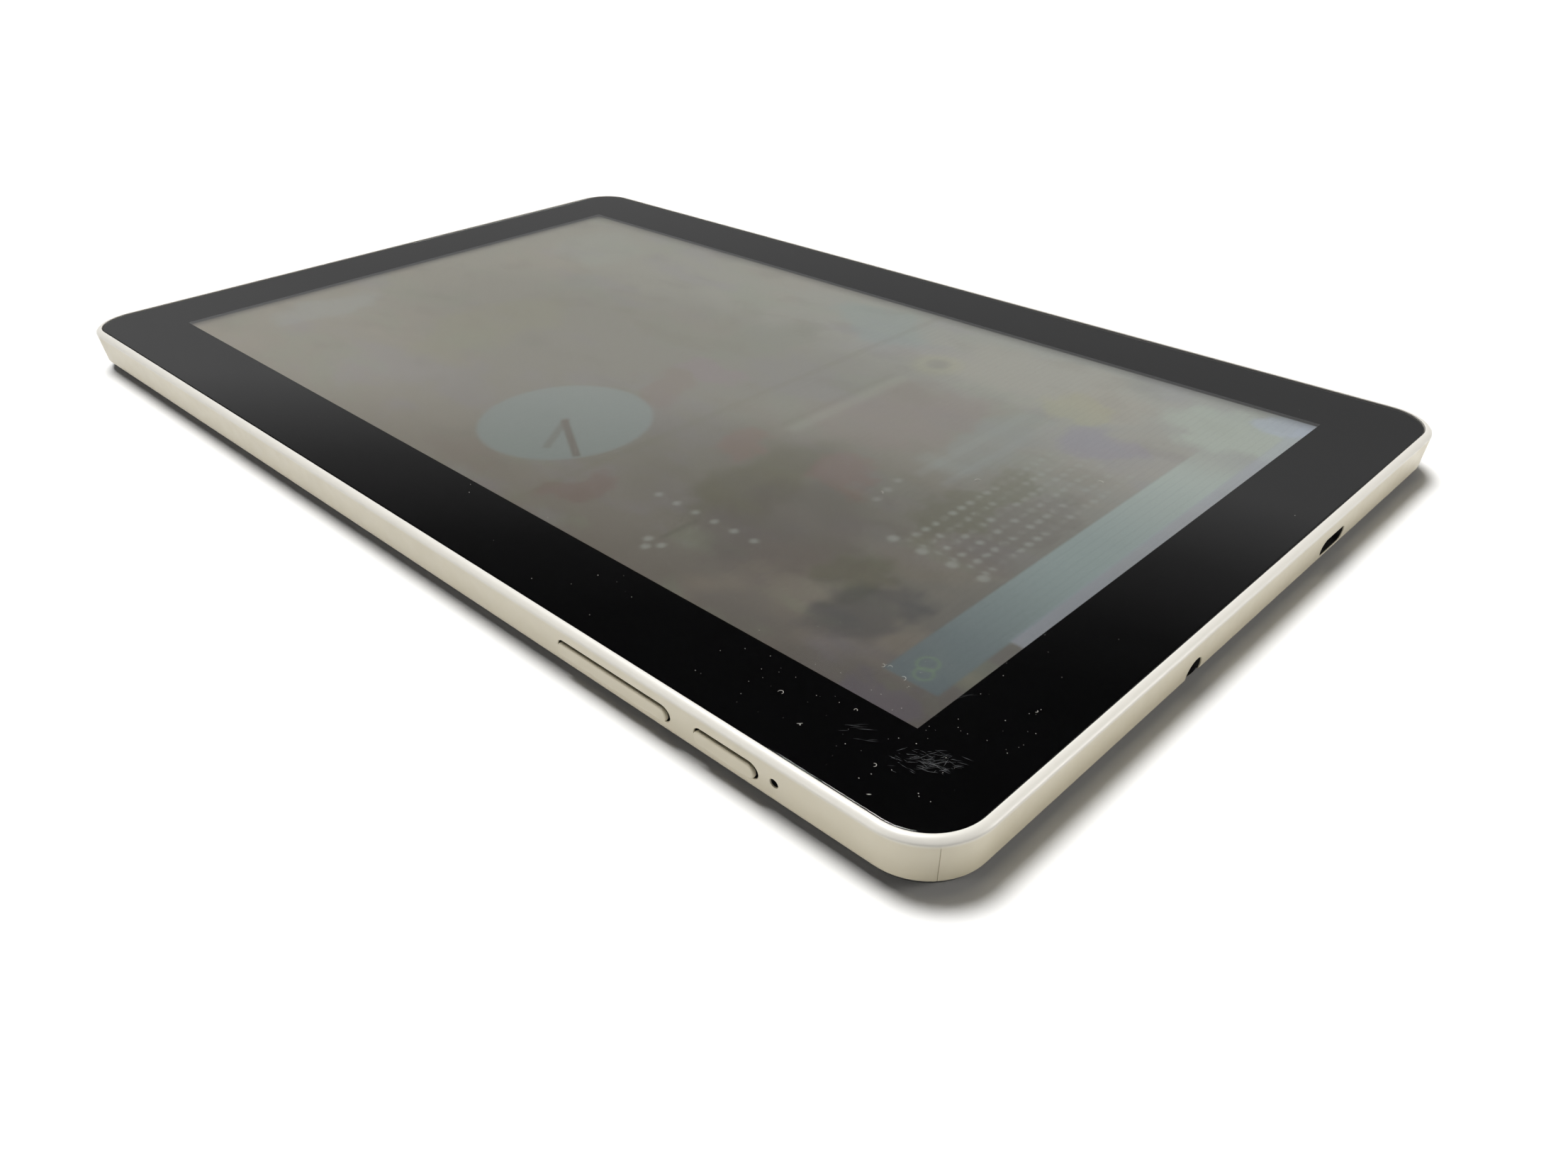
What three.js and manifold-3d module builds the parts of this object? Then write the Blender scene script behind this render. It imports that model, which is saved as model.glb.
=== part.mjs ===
// A 10.1 inch tablet computer lying on its back.
//
// Millimetres, +Z up. The origin is on the surface it lies on, under the middle of the tablet.
// +X is the short side with the charging port and the headphone jack.
// -Y is the long side with the volume rocker and the power button. The screen faces +Z.

import * as THREE from 'three';
import { mergeVertices } from 'three/addons/utils/BufferGeometryUtils.js';
import Module from 'manifold-3d';

const wasm = await Module();
wasm.setup();

// ---------------------------------------------------------------- driving dimensions

const TABLET_LENGTH = 258.9;
const TABLET_WIDTH = 162.1;
const TABLET_THICKNESS = 9.6;
const TABLET_CORNER = 10.35; // outline corner radius

const RIM_WIDTH = 1.35; // from the outline to the inner edge of the lip around the glass
const RIM_ROUNDING = 1.2;
const RIM_EDGE_DROP = 0.08; // how far the lip's inner edge is below its crown
const WALL_TAPER = 0.7; // how far the side wall leans in between its widest point and its foot
const WALL_FOOT_Z = 2.25;
const WALL_INNER_INSET = 2.3; // from the outline to the inside face of the wall
const LEDGE_INNER_INSET = 3.6;
const LEDGE_TOP_Z = 8.25;
const LEDGE_THICKNESS = 0.4;
const LEDGE_ROOT = 1.0; // how far down the wall the ledge's underside meets it

const GLASS_GAP = 0.15;
const GLASS_THICKNESS = 0.9;
const GLASS_TOP_Z = TABLET_THICKNESS - 0.15;

const COVER_GAP = 0.1; // between the wall's foot and the rear cover
const COVER_INSET = 1.15;
const COVER_EDGE_RUN = 3.5; // how far the curved edge of the rear cover reaches in
const COVER_FLOOR = 1.0;
const COVER_LIP = { topZ: 2.9, outer: WALL_INNER_INSET + 0.25, thickness: 0.85 };
const COVER_FILLET = { rise: 0.6, run: 1.4 }; // where the lip meets the floor

const KEY_CENTRE_Z = 5.2;
const KEY_SLOT_HEIGHT = 3.0;
const KEY_GAP = 0.3;
const KEY_SETTLE = 0.15; // the keys hang this much low and to -X in their slots
const KEY_OUTER_Y = -TABLET_WIDTH / 2;
const VOLUME_SLOT = { centre: 69.95, length: 25.1 };
const POWER_SLOT = { centre: 93.55, length: 12.2 };
const MIC_HOLE = { x: 102.6, z: 5.5, radius: 0.7 };

const USB = { y: 29.9, z: 4.1, holeWidth: 9.2, holeHeight: 3.1 };
const JACK = { y: -18.9, z: 3.05, holeRadius: 2.15, boreRadius: 1.8 };

const LCD_LENGTH = 235;
const LCD_WIDTH = 143;
const LCD_BOTTOM_Z = 5.25;
const TRAY = { wall: 0.5, floor: 0.3, topZ: 7.95 };
const TOUCH_Z = { low: 8.2, high: 8.42 };
const PANEL_Z = { low: 6.85, high: 8.05 };
const DIFFUSER_Z = { low: 6.45, high: 6.75 };
const GUIDE_Z = { low: 5.65, high: 6.35 };

const CHASSIS_Z = { low: 4.55, high: 5.05 };
const CHASSIS = { gapX: 1.9, gapY: 1.35, corner: 6 };
const BOARD_Z = { low: 1.55, high: 2.35 };
const BOARD = { x0: 66, x1: 125.7, y0: -64, y1: 44, corner: 2 };
const PART_GAP = 0.1; // between the main board and what stands on it

const FLEX = { thickness: 0.2, foldX: 121.8, endZ: 2.7 };
const DISPLAY_FLEX = { startX: 117.9, startZ: 7.5, endX: 112, y0: -8, y1: 6 };
const TOUCH_FLEX = { startX: 116.4, startZ: 8.31, endX: 114, y0: -44, y1: -36 };

const HALF_LENGTH = TABLET_LENGTH / 2;
const HALF_WIDTH = TABLET_WIDTH / 2;
const WALL_WIDEST_Z = TABLET_THICKNESS - RIM_ROUNDING;
const GLASS_BOTTOM_Z = GLASS_TOP_Z - GLASS_THICKNESS;
const WALL_INNER_X = HALF_LENGTH - WALL_INNER_INSET;
const WALL_INNER_Y = HALF_WIDTH - WALL_INNER_INSET;

const ROUND = 16; // sides of a small round piece
const CORNER_STEPS = 8; // facets in a quarter turn of the outline

// ---------------------------------------------------------------- shapes

// The outline moved in by `inset`, as points anticlockwise from the +X side.
function outlinePoints(inset, z) {
  const radius = Math.max(TABLET_CORNER - inset, 0.6);
  const centreX = HALF_LENGTH - inset - radius;
  const centreY = HALF_WIDTH - inset - radius;
  const quarters = [[1, 1], [-1, 1], [-1, -1], [1, -1]];
  return quarters.flatMap(([signX, signY], quarter) =>
    Array.from({ length: CORNER_STEPS + 1 }, (_, step) => {
      const angle = (quarter + step / CORNER_STEPS) * Math.PI / 2;
      return new THREE.Vector3(
        signX * centreX + radius * Math.cos(angle),
        signY * centreY + radius * Math.sin(angle),
        z,
      );
    }));
}

// Walls between successive outlines, each given as [inset, z].
// A closed section joins the last outline to the first; an open one is capped at both ends.
function loftOutlines(section, closed) {
  const rings = section.map(([inset, z]) => outlinePoints(inset, z));
  const count = rings[0].length;
  const positions = rings.flat().flatMap((point) => point.toArray());
  const triangles = [];
  const bands = closed ? rings.length : rings.length - 1;
  for (let band = 0; band < bands; band += 1) {
    const low = band * count;
    const high = ((band + 1) % rings.length) * count;
    for (let i = 0; i < count; i += 1) {
      const next = (i + 1) % count;
      triangles.push(low + i, low + next, high + next);
      triangles.push(low + i, high + next, high + i);
    }
  }
  if (!closed) {
    const last = (rings.length - 1) * count;
    for (let i = 1; i < count - 1; i += 1) {
      triangles.push(0, i + 1, i);
      triangles.push(last, last + i, last + i + 1);
    }
  }
  const geometry = new THREE.BufferGeometry();
  geometry.setAttribute('position', new THREE.Float32BufferAttribute(positions, 3));
  geometry.setIndex(triangles);
  return geometry;
}

function roundedRectangle(width, height, radius) {
  const x = width / 2;
  const y = height / 2;
  const shape = new THREE.Shape();
  shape.moveTo(x - radius, -y);
  shape.absarc(x - radius, -y + radius, radius, -Math.PI / 2, 0);
  shape.absarc(x - radius, y - radius, radius, 0, Math.PI / 2);
  shape.absarc(-x + radius, y - radius, radius, Math.PI / 2, Math.PI);
  shape.absarc(-x + radius, -y + radius, radius, Math.PI, Math.PI * 1.5);
  return shape;
}

function extrude(shape, depth, curveSegments) {
  return new THREE.ExtrudeGeometry(shape, { depth, curveSegments, bevelEnabled: false });
}

// A rounded plate centred on (x, y), from z0 up to z1.
function plate(width, height, radius, x, y, z0, z1, curveSegments = 4) {
  return extrude(roundedRectangle(width, height, radius), z1 - z0, curveSegments).translate(x, y, z0);
}

function block(x0, x1, y0, y1, z0, z1) {
  const geometry = new THREE.BoxGeometry(x1 - x0, y1 - y0, z1 - z0);
  return geometry.translate((x0 + x1) / 2, (y0 + y1) / 2, (z0 + z1) / 2);
}

function rod(x, y, z0, z1, radius, sides = ROUND) {
  const geometry = new THREE.CylinderGeometry(radius, radius, z1 - z0, sides);
  return geometry.rotateX(Math.PI / 2).translate(x, y, (z0 + z1) / 2);
}

// A rod along X.
function rodAlongX(x0, x1, y, z, radius, sides = ROUND) {
  const geometry = new THREE.CylinderGeometry(radius, radius, x1 - x0, sides);
  return geometry.rotateZ(Math.PI / 2).translate((x0 + x1) / 2, y, z);
}

// A rounded bar facing -Y: `length` along X and `height` along Z.
function barAlongY(x, z, length, height, radius, y0, y1, curveSegments = 6) {
  const geometry = extrude(roundedRectangle(length, height, radius), y1 - y0, curveSegments);
  return geometry.rotateX(Math.PI / 2).translate(x, y1, z);
}

// A rounded bar facing +X: `length` along Y and `height` along Z.
function barAlongX(y, z, length, height, radius, x0, x1, curveSegments = 6) {
  const geometry = extrude(roundedRectangle(length, height, radius), x1 - x0, curveSegments);
  return geometry.rotateX(Math.PI / 2).rotateZ(Math.PI / 2).translate(x0, y, z);
}

// A flat strip of constant thickness following points in the XZ plane, `width` wide in Y.
function foldedStrip(route, thickness, y0, y1) {
  const points = route.map(([x, z]) => new THREE.Vector2(x, z));
  const sides = [1, -1].map((side) => points.map((point, i) => {
    const before = points[Math.max(i - 1, 0)];
    const after = points[Math.min(i + 1, points.length - 1)];
    const into = point.clone().sub(before).normalize();
    const out = after.clone().sub(point).normalize();
    const along = into.add(out).normalize();
    const straight = i === 0 || i === points.length - 1;
    const stretch = straight ? 1 : Math.SQRT2;
    return new THREE.Vector2(-along.y, along.x).multiplyScalar(side * stretch * thickness / 2).add(point);
  }));
  const outline = [...sides[0], ...sides[1].reverse()];
  return extrude(new THREE.Shape(outline), y1 - y0, 1).rotateX(Math.PI / 2).translate(0, y1, 0);
}

// ---------------------------------------------------------------- joining and cutting

function toSolid(geometry) {
  const bare = geometry.clone();
  bare.deleteAttribute('normal');
  bare.deleteAttribute('uv');
  const merged = mergeVertices(bare, 1e-4);
  return new wasm.Manifold(new wasm.Mesh({
    numProp: 3,
    vertProperties: Float32Array.from(merged.attributes.position.array),
    triVerts: Uint32Array.from(merged.index.array),
  }));
}

function toGeometry(solid) {
  const mesh = solid.getMesh();
  const geometry = new THREE.BufferGeometry();
  geometry.setAttribute('position', new THREE.Float32BufferAttribute(mesh.vertProperties, 3));
  geometry.setIndex(Array.from(mesh.triVerts));
  return geometry;
}

function cut(geometry, cutters) {
  return toGeometry(cutters.reduce((left, cutter) => left.subtract(toSolid(cutter)), toSolid(geometry)));
}

function join(geometry, additions) {
  return toGeometry(additions.reduce((whole, piece) => whole.add(toSolid(piece)), toSolid(geometry)));
}

// ---------------------------------------------------------------- the assembly

const FINISHES = {
  framePaint: { color: 0xc9c6ba, roughness: 0.42, metalness: 0.15 },
  coverPaint: { color: 0x2c2c2d, roughness: 0.5, metalness: 0.05 },
  glass: { color: 0x0b0d10, roughness: 0.05, metalness: 0.0 },
  adhesive: { color: 0x17181a, roughness: 0.8, metalness: 0.0 },
  film: { color: 0x9aa4a0, roughness: 0.2, metalness: 0.0 },
  lcd: { color: 0x6f6d63, roughness: 0.25, metalness: 0.0 },
  diffuser: { color: 0xf2f2ee, roughness: 0.6, metalness: 0.0 },
  pressedSteel: { color: 0xb4b6b8, roughness: 0.35, metalness: 0.9 },
  board: { color: 0x14402a, roughness: 0.5, metalness: 0.0 },
  chip: { color: 0x1b1b1d, roughness: 0.55, metalness: 0.0 },
  battery: { color: 0x2b2c30, roughness: 0.45, metalness: 0.2 },
  flex: { color: 0xa8641c, roughness: 0.4, metalness: 0.0 },
  blackPlastic: { color: 0x1d1d1f, roughness: 0.55, metalness: 0.0 },
  lens: { color: 0x0a0c14, roughness: 0.05, metalness: 0.0 },
  led: { color: 0xf5f0d8, roughness: 0.4, metalness: 0.0 },
};

const tablet = new THREE.Group();

function add(name, geometry, finish) {
  const mesh = new THREE.Mesh(geometry, new THREE.MeshStandardMaterial(FINISHES[finish]));
  mesh.name = name;
  tablet.add(mesh);
}

// ---------------------------------------------------------------- frame and covers

// Where six lugs on the frame take the screws that hold the chassis plate.
const LUG = { size: 5.4, low: 5.15, high: 7.2, root: 0.4, screwRadius: 1.0 };
const LUG_CENTRES = [-70, 0, 50].flatMap((x) => [-1, 1].map((side) => [x, side * 75.6]));

function frameLug([x, y]) {
  const half = LUG.size / 2;
  const side = Math.sign(y);
  const ends = [y - side * half, side * (WALL_INNER_Y + LUG.root)];
  return block(x - half, x + half, Math.min(...ends), Math.max(...ends), LUG.low, LUG.high);
}

function buildSideFrame() {
  const rimSteps = 4;
  const rim = Array.from({ length: rimSteps + 1 }, (_, step) => {
    const angle = step / rimSteps * Math.PI / 2;
    return [RIM_ROUNDING * (1 - Math.cos(angle)), WALL_WIDEST_Z + RIM_ROUNDING * Math.sin(angle)];
  });
  const section = [
    [WALL_TAPER, WALL_FOOT_Z],
    ...rim,
    [RIM_WIDTH, TABLET_THICKNESS - RIM_EDGE_DROP],
    [RIM_WIDTH, LEDGE_TOP_Z],
    [LEDGE_INNER_INSET, LEDGE_TOP_Z],
    [LEDGE_INNER_INSET, LEDGE_TOP_Z - LEDGE_THICKNESS],
    [WALL_INNER_INSET, LEDGE_TOP_Z - LEDGE_ROOT],
    [WALL_INNER_INSET, WALL_FOOT_Z],
  ];
  const ring = join(loftOutlines(section, true), LUG_CENTRES.map(frameLug));
  const throughY = [-HALF_WIDTH - 1, -WALL_INNER_Y + 1];
  const throughX = [WALL_INNER_X - 1, HALF_LENGTH + 1];
  const keySlots = [VOLUME_SLOT, POWER_SLOT].map(({ centre, length }) =>
    barAlongY(centre, KEY_CENTRE_Z, length, KEY_SLOT_HEIGHT, KEY_SLOT_HEIGHT / 2 - 0.01, ...throughY));
  const micHole = barAlongY(MIC_HOLE.x, MIC_HOLE.z, 2 * MIC_HOLE.radius, 2 * MIC_HOLE.radius,
    MIC_HOLE.radius - 0.01, ...throughY, 4);
  const usbHole = barAlongX(USB.y, USB.z, USB.holeWidth, USB.holeHeight,
    USB.holeHeight / 2 - 0.01, ...throughX);
  const jackHole = rodAlongX(...throughX, JACK.y, JACK.z, JACK.holeRadius, 24);
  const lugHoles = LUG_CENTRES.map(([x, y]) => rod(x, y, LUG.low - 1, LUG.high + 1, LUG.screwRadius));
  return cut(ring, [...keySlots, micHole, usbHole, jackHole, ...lugHoles]);
}

const SPEAKER = { x: -112, y: 52, length: 24, width: 13 };
const GRILLE = { slots: 5, pitch: 3.4, slotLength: 8, slotWidth: 1.4 };
const REAR_CAMERA = { x: 108, y: 61, windowRadius: 3.9, holeRadius: 4.2 };
const USB_ROOM = 5.2; // half the width that is kept clear round the charging port
const JACK_ROOM = 3.0;

function speakerGrille(side) {
  return Array.from({ length: GRILLE.slots }, (_, i) => {
    const x = SPEAKER.x + (i - (GRILLE.slots - 1) / 2) * GRILLE.pitch;
    return plate(GRILLE.slotWidth, GRILLE.slotLength, GRILLE.slotWidth / 2 - 0.01,
      x, side * SPEAKER.y, -1, COVER_FLOOR + 1, 3);
  });
}

function buildRearCover() {
  const top = WALL_FOOT_Z - COVER_GAP;
  const edgeSteps = 5;
  const edge = Array.from({ length: edgeSteps + 1 }, (_, step) => {
    const angle = step / edgeSteps * Math.PI / 2;
    return [COVER_INSET + COVER_EDGE_RUN * (1 - Math.sin(angle)), top * (1 - Math.cos(angle))];
  });
  const lipInner = COVER_LIP.outer + COVER_LIP.thickness;
  const section = [
    ...edge,
    [COVER_LIP.outer, top],
    [COVER_LIP.outer, COVER_LIP.topZ],
    [lipInner, COVER_LIP.topZ],
    [lipInner, COVER_FLOOR + COVER_FILLET.rise],
    [lipInner + COVER_FILLET.run, COVER_FLOOR],
  ];
  const shell = loftOutlines(section, false);
  const lipX = HALF_LENGTH - COVER_LIP.outer;
  const usbNotch = block(lipX - 2, lipX + 0.2, USB.y - USB_ROOM, USB.y + USB_ROOM, USB.z - 2, 4);
  const jackNotch = block(lipX - 2, lipX + 0.2, JACK.y - JACK_ROOM, JACK.y + JACK_ROOM, COVER_FLOOR, 4);
  const jackHole = rodAlongX(WALL_INNER_X - 1, HALF_LENGTH + 1, JACK.y, JACK.z, JACK.holeRadius, 24);
  const cameraHole = rod(REAR_CAMERA.x, REAR_CAMERA.y, -1, COVER_FLOOR + 1, REAR_CAMERA.holeRadius, 24);
  return cut(shell, [usbNotch, jackNotch, jackHole, cameraHole, ...speakerGrille(1), ...speakerGrille(-1)]);
}

// The plate that carries the display on one face and the electronics on the other.
const BOARD_SCREWS = [[70, -58], [70, 38], [120, -50], [120, 12]];
const BOSS = { radius: 2.2, low: BOARD_Z.high + PART_GAP, holeRadius: 1.0 };
const KEY_ROOM = { x0: 54, x1: 109, y1: -73.2 }; // for the keys' switches and their board

function buildMidChassis() {
  const length = 2 * (WALL_INNER_X - CHASSIS.gapX);
  const width = 2 * (WALL_INNER_Y - CHASSIS.gapY);
  const sheet = plate(length, width, CHASSIS.corner, 0, 0, CHASSIS_Z.low, CHASSIS_Z.high);
  const bosses = BOARD_SCREWS.map(([x, y]) => rod(x, y, BOSS.low, CHASSIS_Z.high, BOSS.radius));
  const through = [CHASSIS_Z.low - 1, CHASSIS_Z.high + 1];
  const keyNotch = block(KEY_ROOM.x0, KEY_ROOM.x1, -HALF_WIDTH, KEY_ROOM.y1, ...through);
  const usbNotch = block(118.6, HALF_LENGTH, USB.y - USB_ROOM, USB.y + USB_ROOM, ...through);
  const jackNotch = block(112.6, HALF_LENGTH, JACK.y - 3.3, JACK.y + 3.3, ...through);
  const flexSlots = [DISPLAY_FLEX, TOUCH_FLEX].map(({ y0, y1 }) =>
    block(FLEX.foldX - 1.4, FLEX.foldX + 1.4, y0 - 0.6, y1 + 0.6, ...through));
  const bossHoles = BOARD_SCREWS.map(([x, y]) => rod(x, y, 0, CHASSIS_Z.low, BOSS.holeRadius));
  const lugHoles = LUG_CENTRES.map(([x, y]) => rod(x, y, ...through, LUG.screwRadius));
  return cut(join(sheet, bosses), [keyNotch, usbNotch, jackNotch, ...flexSlots, ...bossHoles, ...lugHoles]);
}

function buildAdhesive() {
  const outer = RIM_WIDTH + 0.3;
  const inner = LEDGE_INNER_INSET - 0.1;
  const low = LEDGE_TOP_Z + 0.05;
  const high = GLASS_BOTTOM_Z - 0.05;
  return loftOutlines([[outer, low], [outer, high], [inner, high], [inner, low]], true);
}

function buildCoverGlass() {
  const edge = RIM_WIDTH + GLASS_GAP;
  const chamfer = 0.15;
  const section = [[edge, GLASS_BOTTOM_Z], [edge, GLASS_TOP_Z - chamfer], [edge + chamfer, GLASS_TOP_Z]];
  return loftOutlines(section, false);
}

// ---------------------------------------------------------------- display

const IN_TRAY = TRAY.wall + 0.3; // how far in from the tray's outside the layers in it are
const LED_STRIP = { halfLength: 105, width: 1.2 };

function lcdLayer(inset, { low, high }) {
  return plate(LCD_LENGTH - 2 * inset, LCD_WIDTH - 2 * inset, 1, 0, 0, low, high, 2);
}

function buildLcdTray() {
  const outer = lcdLayer(0, { low: LCD_BOTTOM_Z, high: TRAY.topZ });
  const hollow = lcdLayer(TRAY.wall, { low: LCD_BOTTOM_Z + TRAY.floor, high: TRAY.topZ + 1 });
  return cut(outer, [hollow]);
}

// The row of lamps that lights the light guide from the -Y side.
function buildLedStrip() {
  const y = -LCD_WIDTH / 2 + TRAY.wall + 0.2;
  const { halfLength, width } = LED_STRIP;
  return block(-halfLength, halfLength, y, y + width, GUIDE_Z.low, GUIDE_Z.high);
}

function buildLightGuide() {
  const x = LCD_LENGTH / 2 - IN_TRAY;
  const y = LCD_WIDTH / 2 - IN_TRAY;
  return block(-x, x, -y + LED_STRIP.width + 0.2, y, GUIDE_Z.low, GUIDE_Z.high);
}

// ---------------------------------------------------------------- side keys

const KEY_BEVEL = 0.35;
const KEY_FLANGE = { y0: -78.45, y1: -77.75, extraLength: 1.5, height: 4.0, corner: 0.8 };
const SWITCH = { tipY: -77.4, bodyY0: -77.1, bodyY1: -76.2, size: 3.2, height: 2.4, tipSize: 1.4 };
const ROCKER_ARM = 8.5; // from the rocker's middle to each of its switches

// A key: its cap fills the slot, and a flange behind the wall keeps it from falling out.
function buildKey({ centre, length }) {
  const x = centre - KEY_SETTLE;
  const z = KEY_CENTRE_Z - KEY_SETTLE;
  const faceLength = length - 2 * (KEY_GAP + KEY_BEVEL);
  const faceHeight = KEY_SLOT_HEIGHT - 2 * (KEY_GAP + KEY_BEVEL);
  const cap = new THREE.ExtrudeGeometry(roundedRectangle(faceLength, faceHeight, faceHeight / 2 - 0.01), {
    depth: KEY_FLANGE.y1 - KEY_OUTER_Y - 2 * KEY_BEVEL,
    curveSegments: 6,
    bevelThickness: KEY_BEVEL,
    bevelSize: KEY_BEVEL,
    bevelSegments: 2,
  });
  cap.rotateX(Math.PI / 2).translate(x, KEY_FLANGE.y1 - KEY_BEVEL, z);
  const flange = barAlongY(x, z, length + KEY_FLANGE.extraLength, KEY_FLANGE.height, KEY_FLANGE.corner,
    KEY_FLANGE.y0, KEY_FLANGE.y1, 2);
  return join(cap, [flange]);
}

function buildKeySwitch(x) {
  const { bodyY0, bodyY1, tipY, tipSize } = SWITCH;
  const halfX = SWITCH.size / 2;
  const halfZ = SWITCH.height / 2;
  const body = block(x - halfX, x + halfX, bodyY0, bodyY1, KEY_CENTRE_Z - halfZ, KEY_CENTRE_Z + halfZ);
  const tip = barAlongY(x, KEY_CENTRE_Z, tipSize, tipSize, 0.4, tipY, bodyY0 + 0.1, 2);
  return join(body, [tip]);
}

// ---------------------------------------------------------------- ports

const USB_SHELL = { width: 8.94, height: 3.16, depth: 7.3, sheet: 0.3, mouthX: WALL_INNER_X - 0.3 };
const USB_TONGUE = { tipX: WALL_INNER_X - 1.0, length: 6, width: 6.6, thickness: 0.7 };
const JACK_BODY = { mouthX: 125.7, length: 12.5, halfWidth: 2.7, z0: 1.1, z1: 5.0, boreDepth: 11.5 };

function buildUsbShell() {
  const { width, height, depth, sheet, mouthX } = USB_SHELL;
  const outer = barAlongX(USB.y, USB.z, width, height, height / 2 - 0.01, mouthX - depth, mouthX);
  const hollow = barAlongX(USB.y, USB.z, width - 2 * sheet, height - 2 * sheet, height / 2 - sheet - 0.01,
    mouthX - depth + sheet, mouthX + 1);
  return cut(outer, [hollow]);
}

function buildUsbTongue() {
  const { tipX, length } = USB_TONGUE;
  const halfY = USB_TONGUE.width / 2;
  const halfZ = USB_TONGUE.thickness / 2;
  return block(tipX - length, tipX, USB.y - halfY, USB.y + halfY, USB.z - halfZ, USB.z + halfZ);
}

function buildAudioJack() {
  const { mouthX, length, halfWidth, z0, z1, boreDepth } = JACK_BODY;
  const body = block(mouthX - length, mouthX, JACK.y - halfWidth, JACK.y + halfWidth, z0, z1);
  const bore = rodAlongX(mouthX - boreDepth, mouthX + 1, JACK.y, JACK.z, JACK.boreRadius, 20);
  return cut(body, [bore]);
}

// ---------------------------------------------------------------- boards and cables

function buildMainBoard() {
  const { x0, x1, y0, y1, corner } = BOARD;
  const sheet = plate(x1 - x0, y1 - y0, corner, (x0 + x1) / 2, (y0 + y1) / 2, BOARD_Z.low, BOARD_Z.high, 3);
  const jackNotch = block(112.8, HALF_LENGTH, JACK.y - 3.1, JACK.y + 3.1, 0, 4);
  const screwHoles = BOARD_SCREWS.map(([x, y]) => rod(x, y, 0, 4, BOSS.holeRadius));
  return cut(sheet, [jackNotch, ...screwHoles]);
}

const SHIELD = { topZ: 4.3, sheet: 0.2 };

// A pressed lid over chips: open underneath.
function shieldCan(x0, x1, y0, y1) {
  const z0 = BOARD_Z.high + PART_GAP;
  const { topZ, sheet } = SHIELD;
  const hollow = block(x0 + sheet, x1 - sheet, y0 + sheet, y1 - sheet, z0 - 1, topZ - sheet);
  return cut(block(x0, x1, y0, y1, z0, topZ), [hollow]);
}

function chip(x, y, size, height) {
  const z0 = BOARD_Z.high + PART_GAP;
  return block(x - size / 2, x + size / 2, y - size / 2, y + size / 2, z0, z0 + height);
}

// A flat cable from the display, down past the chassis and back to the main board.
function buildFlex({ startX, startZ, endX, y0, y1 }) {
  const route = [[startX, startZ], [FLEX.foldX, startZ], [FLEX.foldX, FLEX.endZ], [endX, FLEX.endZ]];
  return foldedStrip(route, FLEX.thickness, y0, y1);
}

const SCREW = { headRadius: 1.6, shankRadius: 0.8 };

// A screw standing on its head, with a cross recess in the head's underside.
function screw(x, y, headZ0, headZ1, shankTop) {
  const shank = rod(x, y, headZ1 - 0.1, shankTop, SCREW.shankRadius, 12);
  const body = join(rod(x, y, headZ0, headZ1, SCREW.headRadius), [shank]);
  const arm = SCREW.headRadius * 0.55;
  const slot = 0.2;
  const floor = headZ0 + (headZ1 - headZ0) * 0.6;
  const alongX = block(x - arm, x + arm, y - slot, y + slot, headZ0 - 1, floor);
  const alongY = block(x - slot, x + slot, y - arm, y + arm, headZ0 - 1, floor);
  return cut(body, [alongX, alongY]);
}

// ---------------------------------------------------------------- battery

const BATTERY = { z0: 1.2, z1: 4.35, width: 116, cellLength: 78, corner: 2.5 };
const CELL_CENTRES = { battery_cell_left: -61, battery_cell_right: 20 };

function buildCell(x) {
  return plate(BATTERY.cellLength, BATTERY.width, BATTERY.corner, x, 0, BATTERY.z0, BATTERY.z1, 3);
}

// The lead lies flat from the protection board to the socket on the main board.
function buildBatteryLead() {
  const z = [2.55, 3.55];
  const half = 1.4;
  const corner = { x: 62.6, y: 62.6 };
  const start = { x: 40 };
  const end = { x: 67.4, y: 34.6 };
  const run = block(start.x, corner.x + half, corner.y - half, corner.y + half, ...z);
  const drop = block(corner.x - half, corner.x + half, end.y, corner.y + half, ...z);
  const plug = block(corner.x - half, end.x, end.y - half, end.y + half, ...z);
  return join(run, [drop, plug]);
}

// ---------------------------------------------------------------- speakers, cameras, antenna

function buildSpeaker(side) {
  const { x, length, width } = SPEAKER;
  const y = side * SPEAKER.y;
  const body = plate(length, width, 1.5, x, y, 1.3, 4.3, 2);
  const mouth = plate(length - 7, width - 5, 2, x, y, 0, 1.9, 3);
  return cut(body, [mouth]);
}

const FRONT_CAMERA = { x: 9, y: 74.4, half: 2.35, z0: 5.3, z1: 7.2, lensTop: 8.2, lensRadius: 1.7 };
const REAR_MODULE = { half: 4.2, z0: 2.2, z1: 4.35, lensLow: 1.1, lensRadius: 3.0 };

function buildFrontCamera() {
  const { x, y, half, z0, z1, lensTop, lensRadius } = FRONT_CAMERA;
  const body = block(x - half, x + half, y - half, y + half, z0, z1);
  return join(body, [rod(x, y, z1 - 0.1, lensTop, lensRadius)]);
}

function buildRearCamera() {
  const { x, y } = REAR_CAMERA;
  const { half, z0, z1, lensLow, lensRadius } = REAR_MODULE;
  const body = block(x - half, x + half, y - half, y + half, z0, z1);
  return join(body, [rod(x, y, lensLow, z0 + 0.1, lensRadius)]);
}

// ---------------------------------------------------------------- putting it together

add('side_frame', buildSideFrame(), 'framePaint');
add('rear_cover', buildRearCover(), 'coverPaint');
add('mid_chassis', buildMidChassis(), 'pressedSteel');
add('cover_glass', buildCoverGlass(), 'glass');
add('glass_adhesive', buildAdhesive(), 'adhesive');

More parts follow.
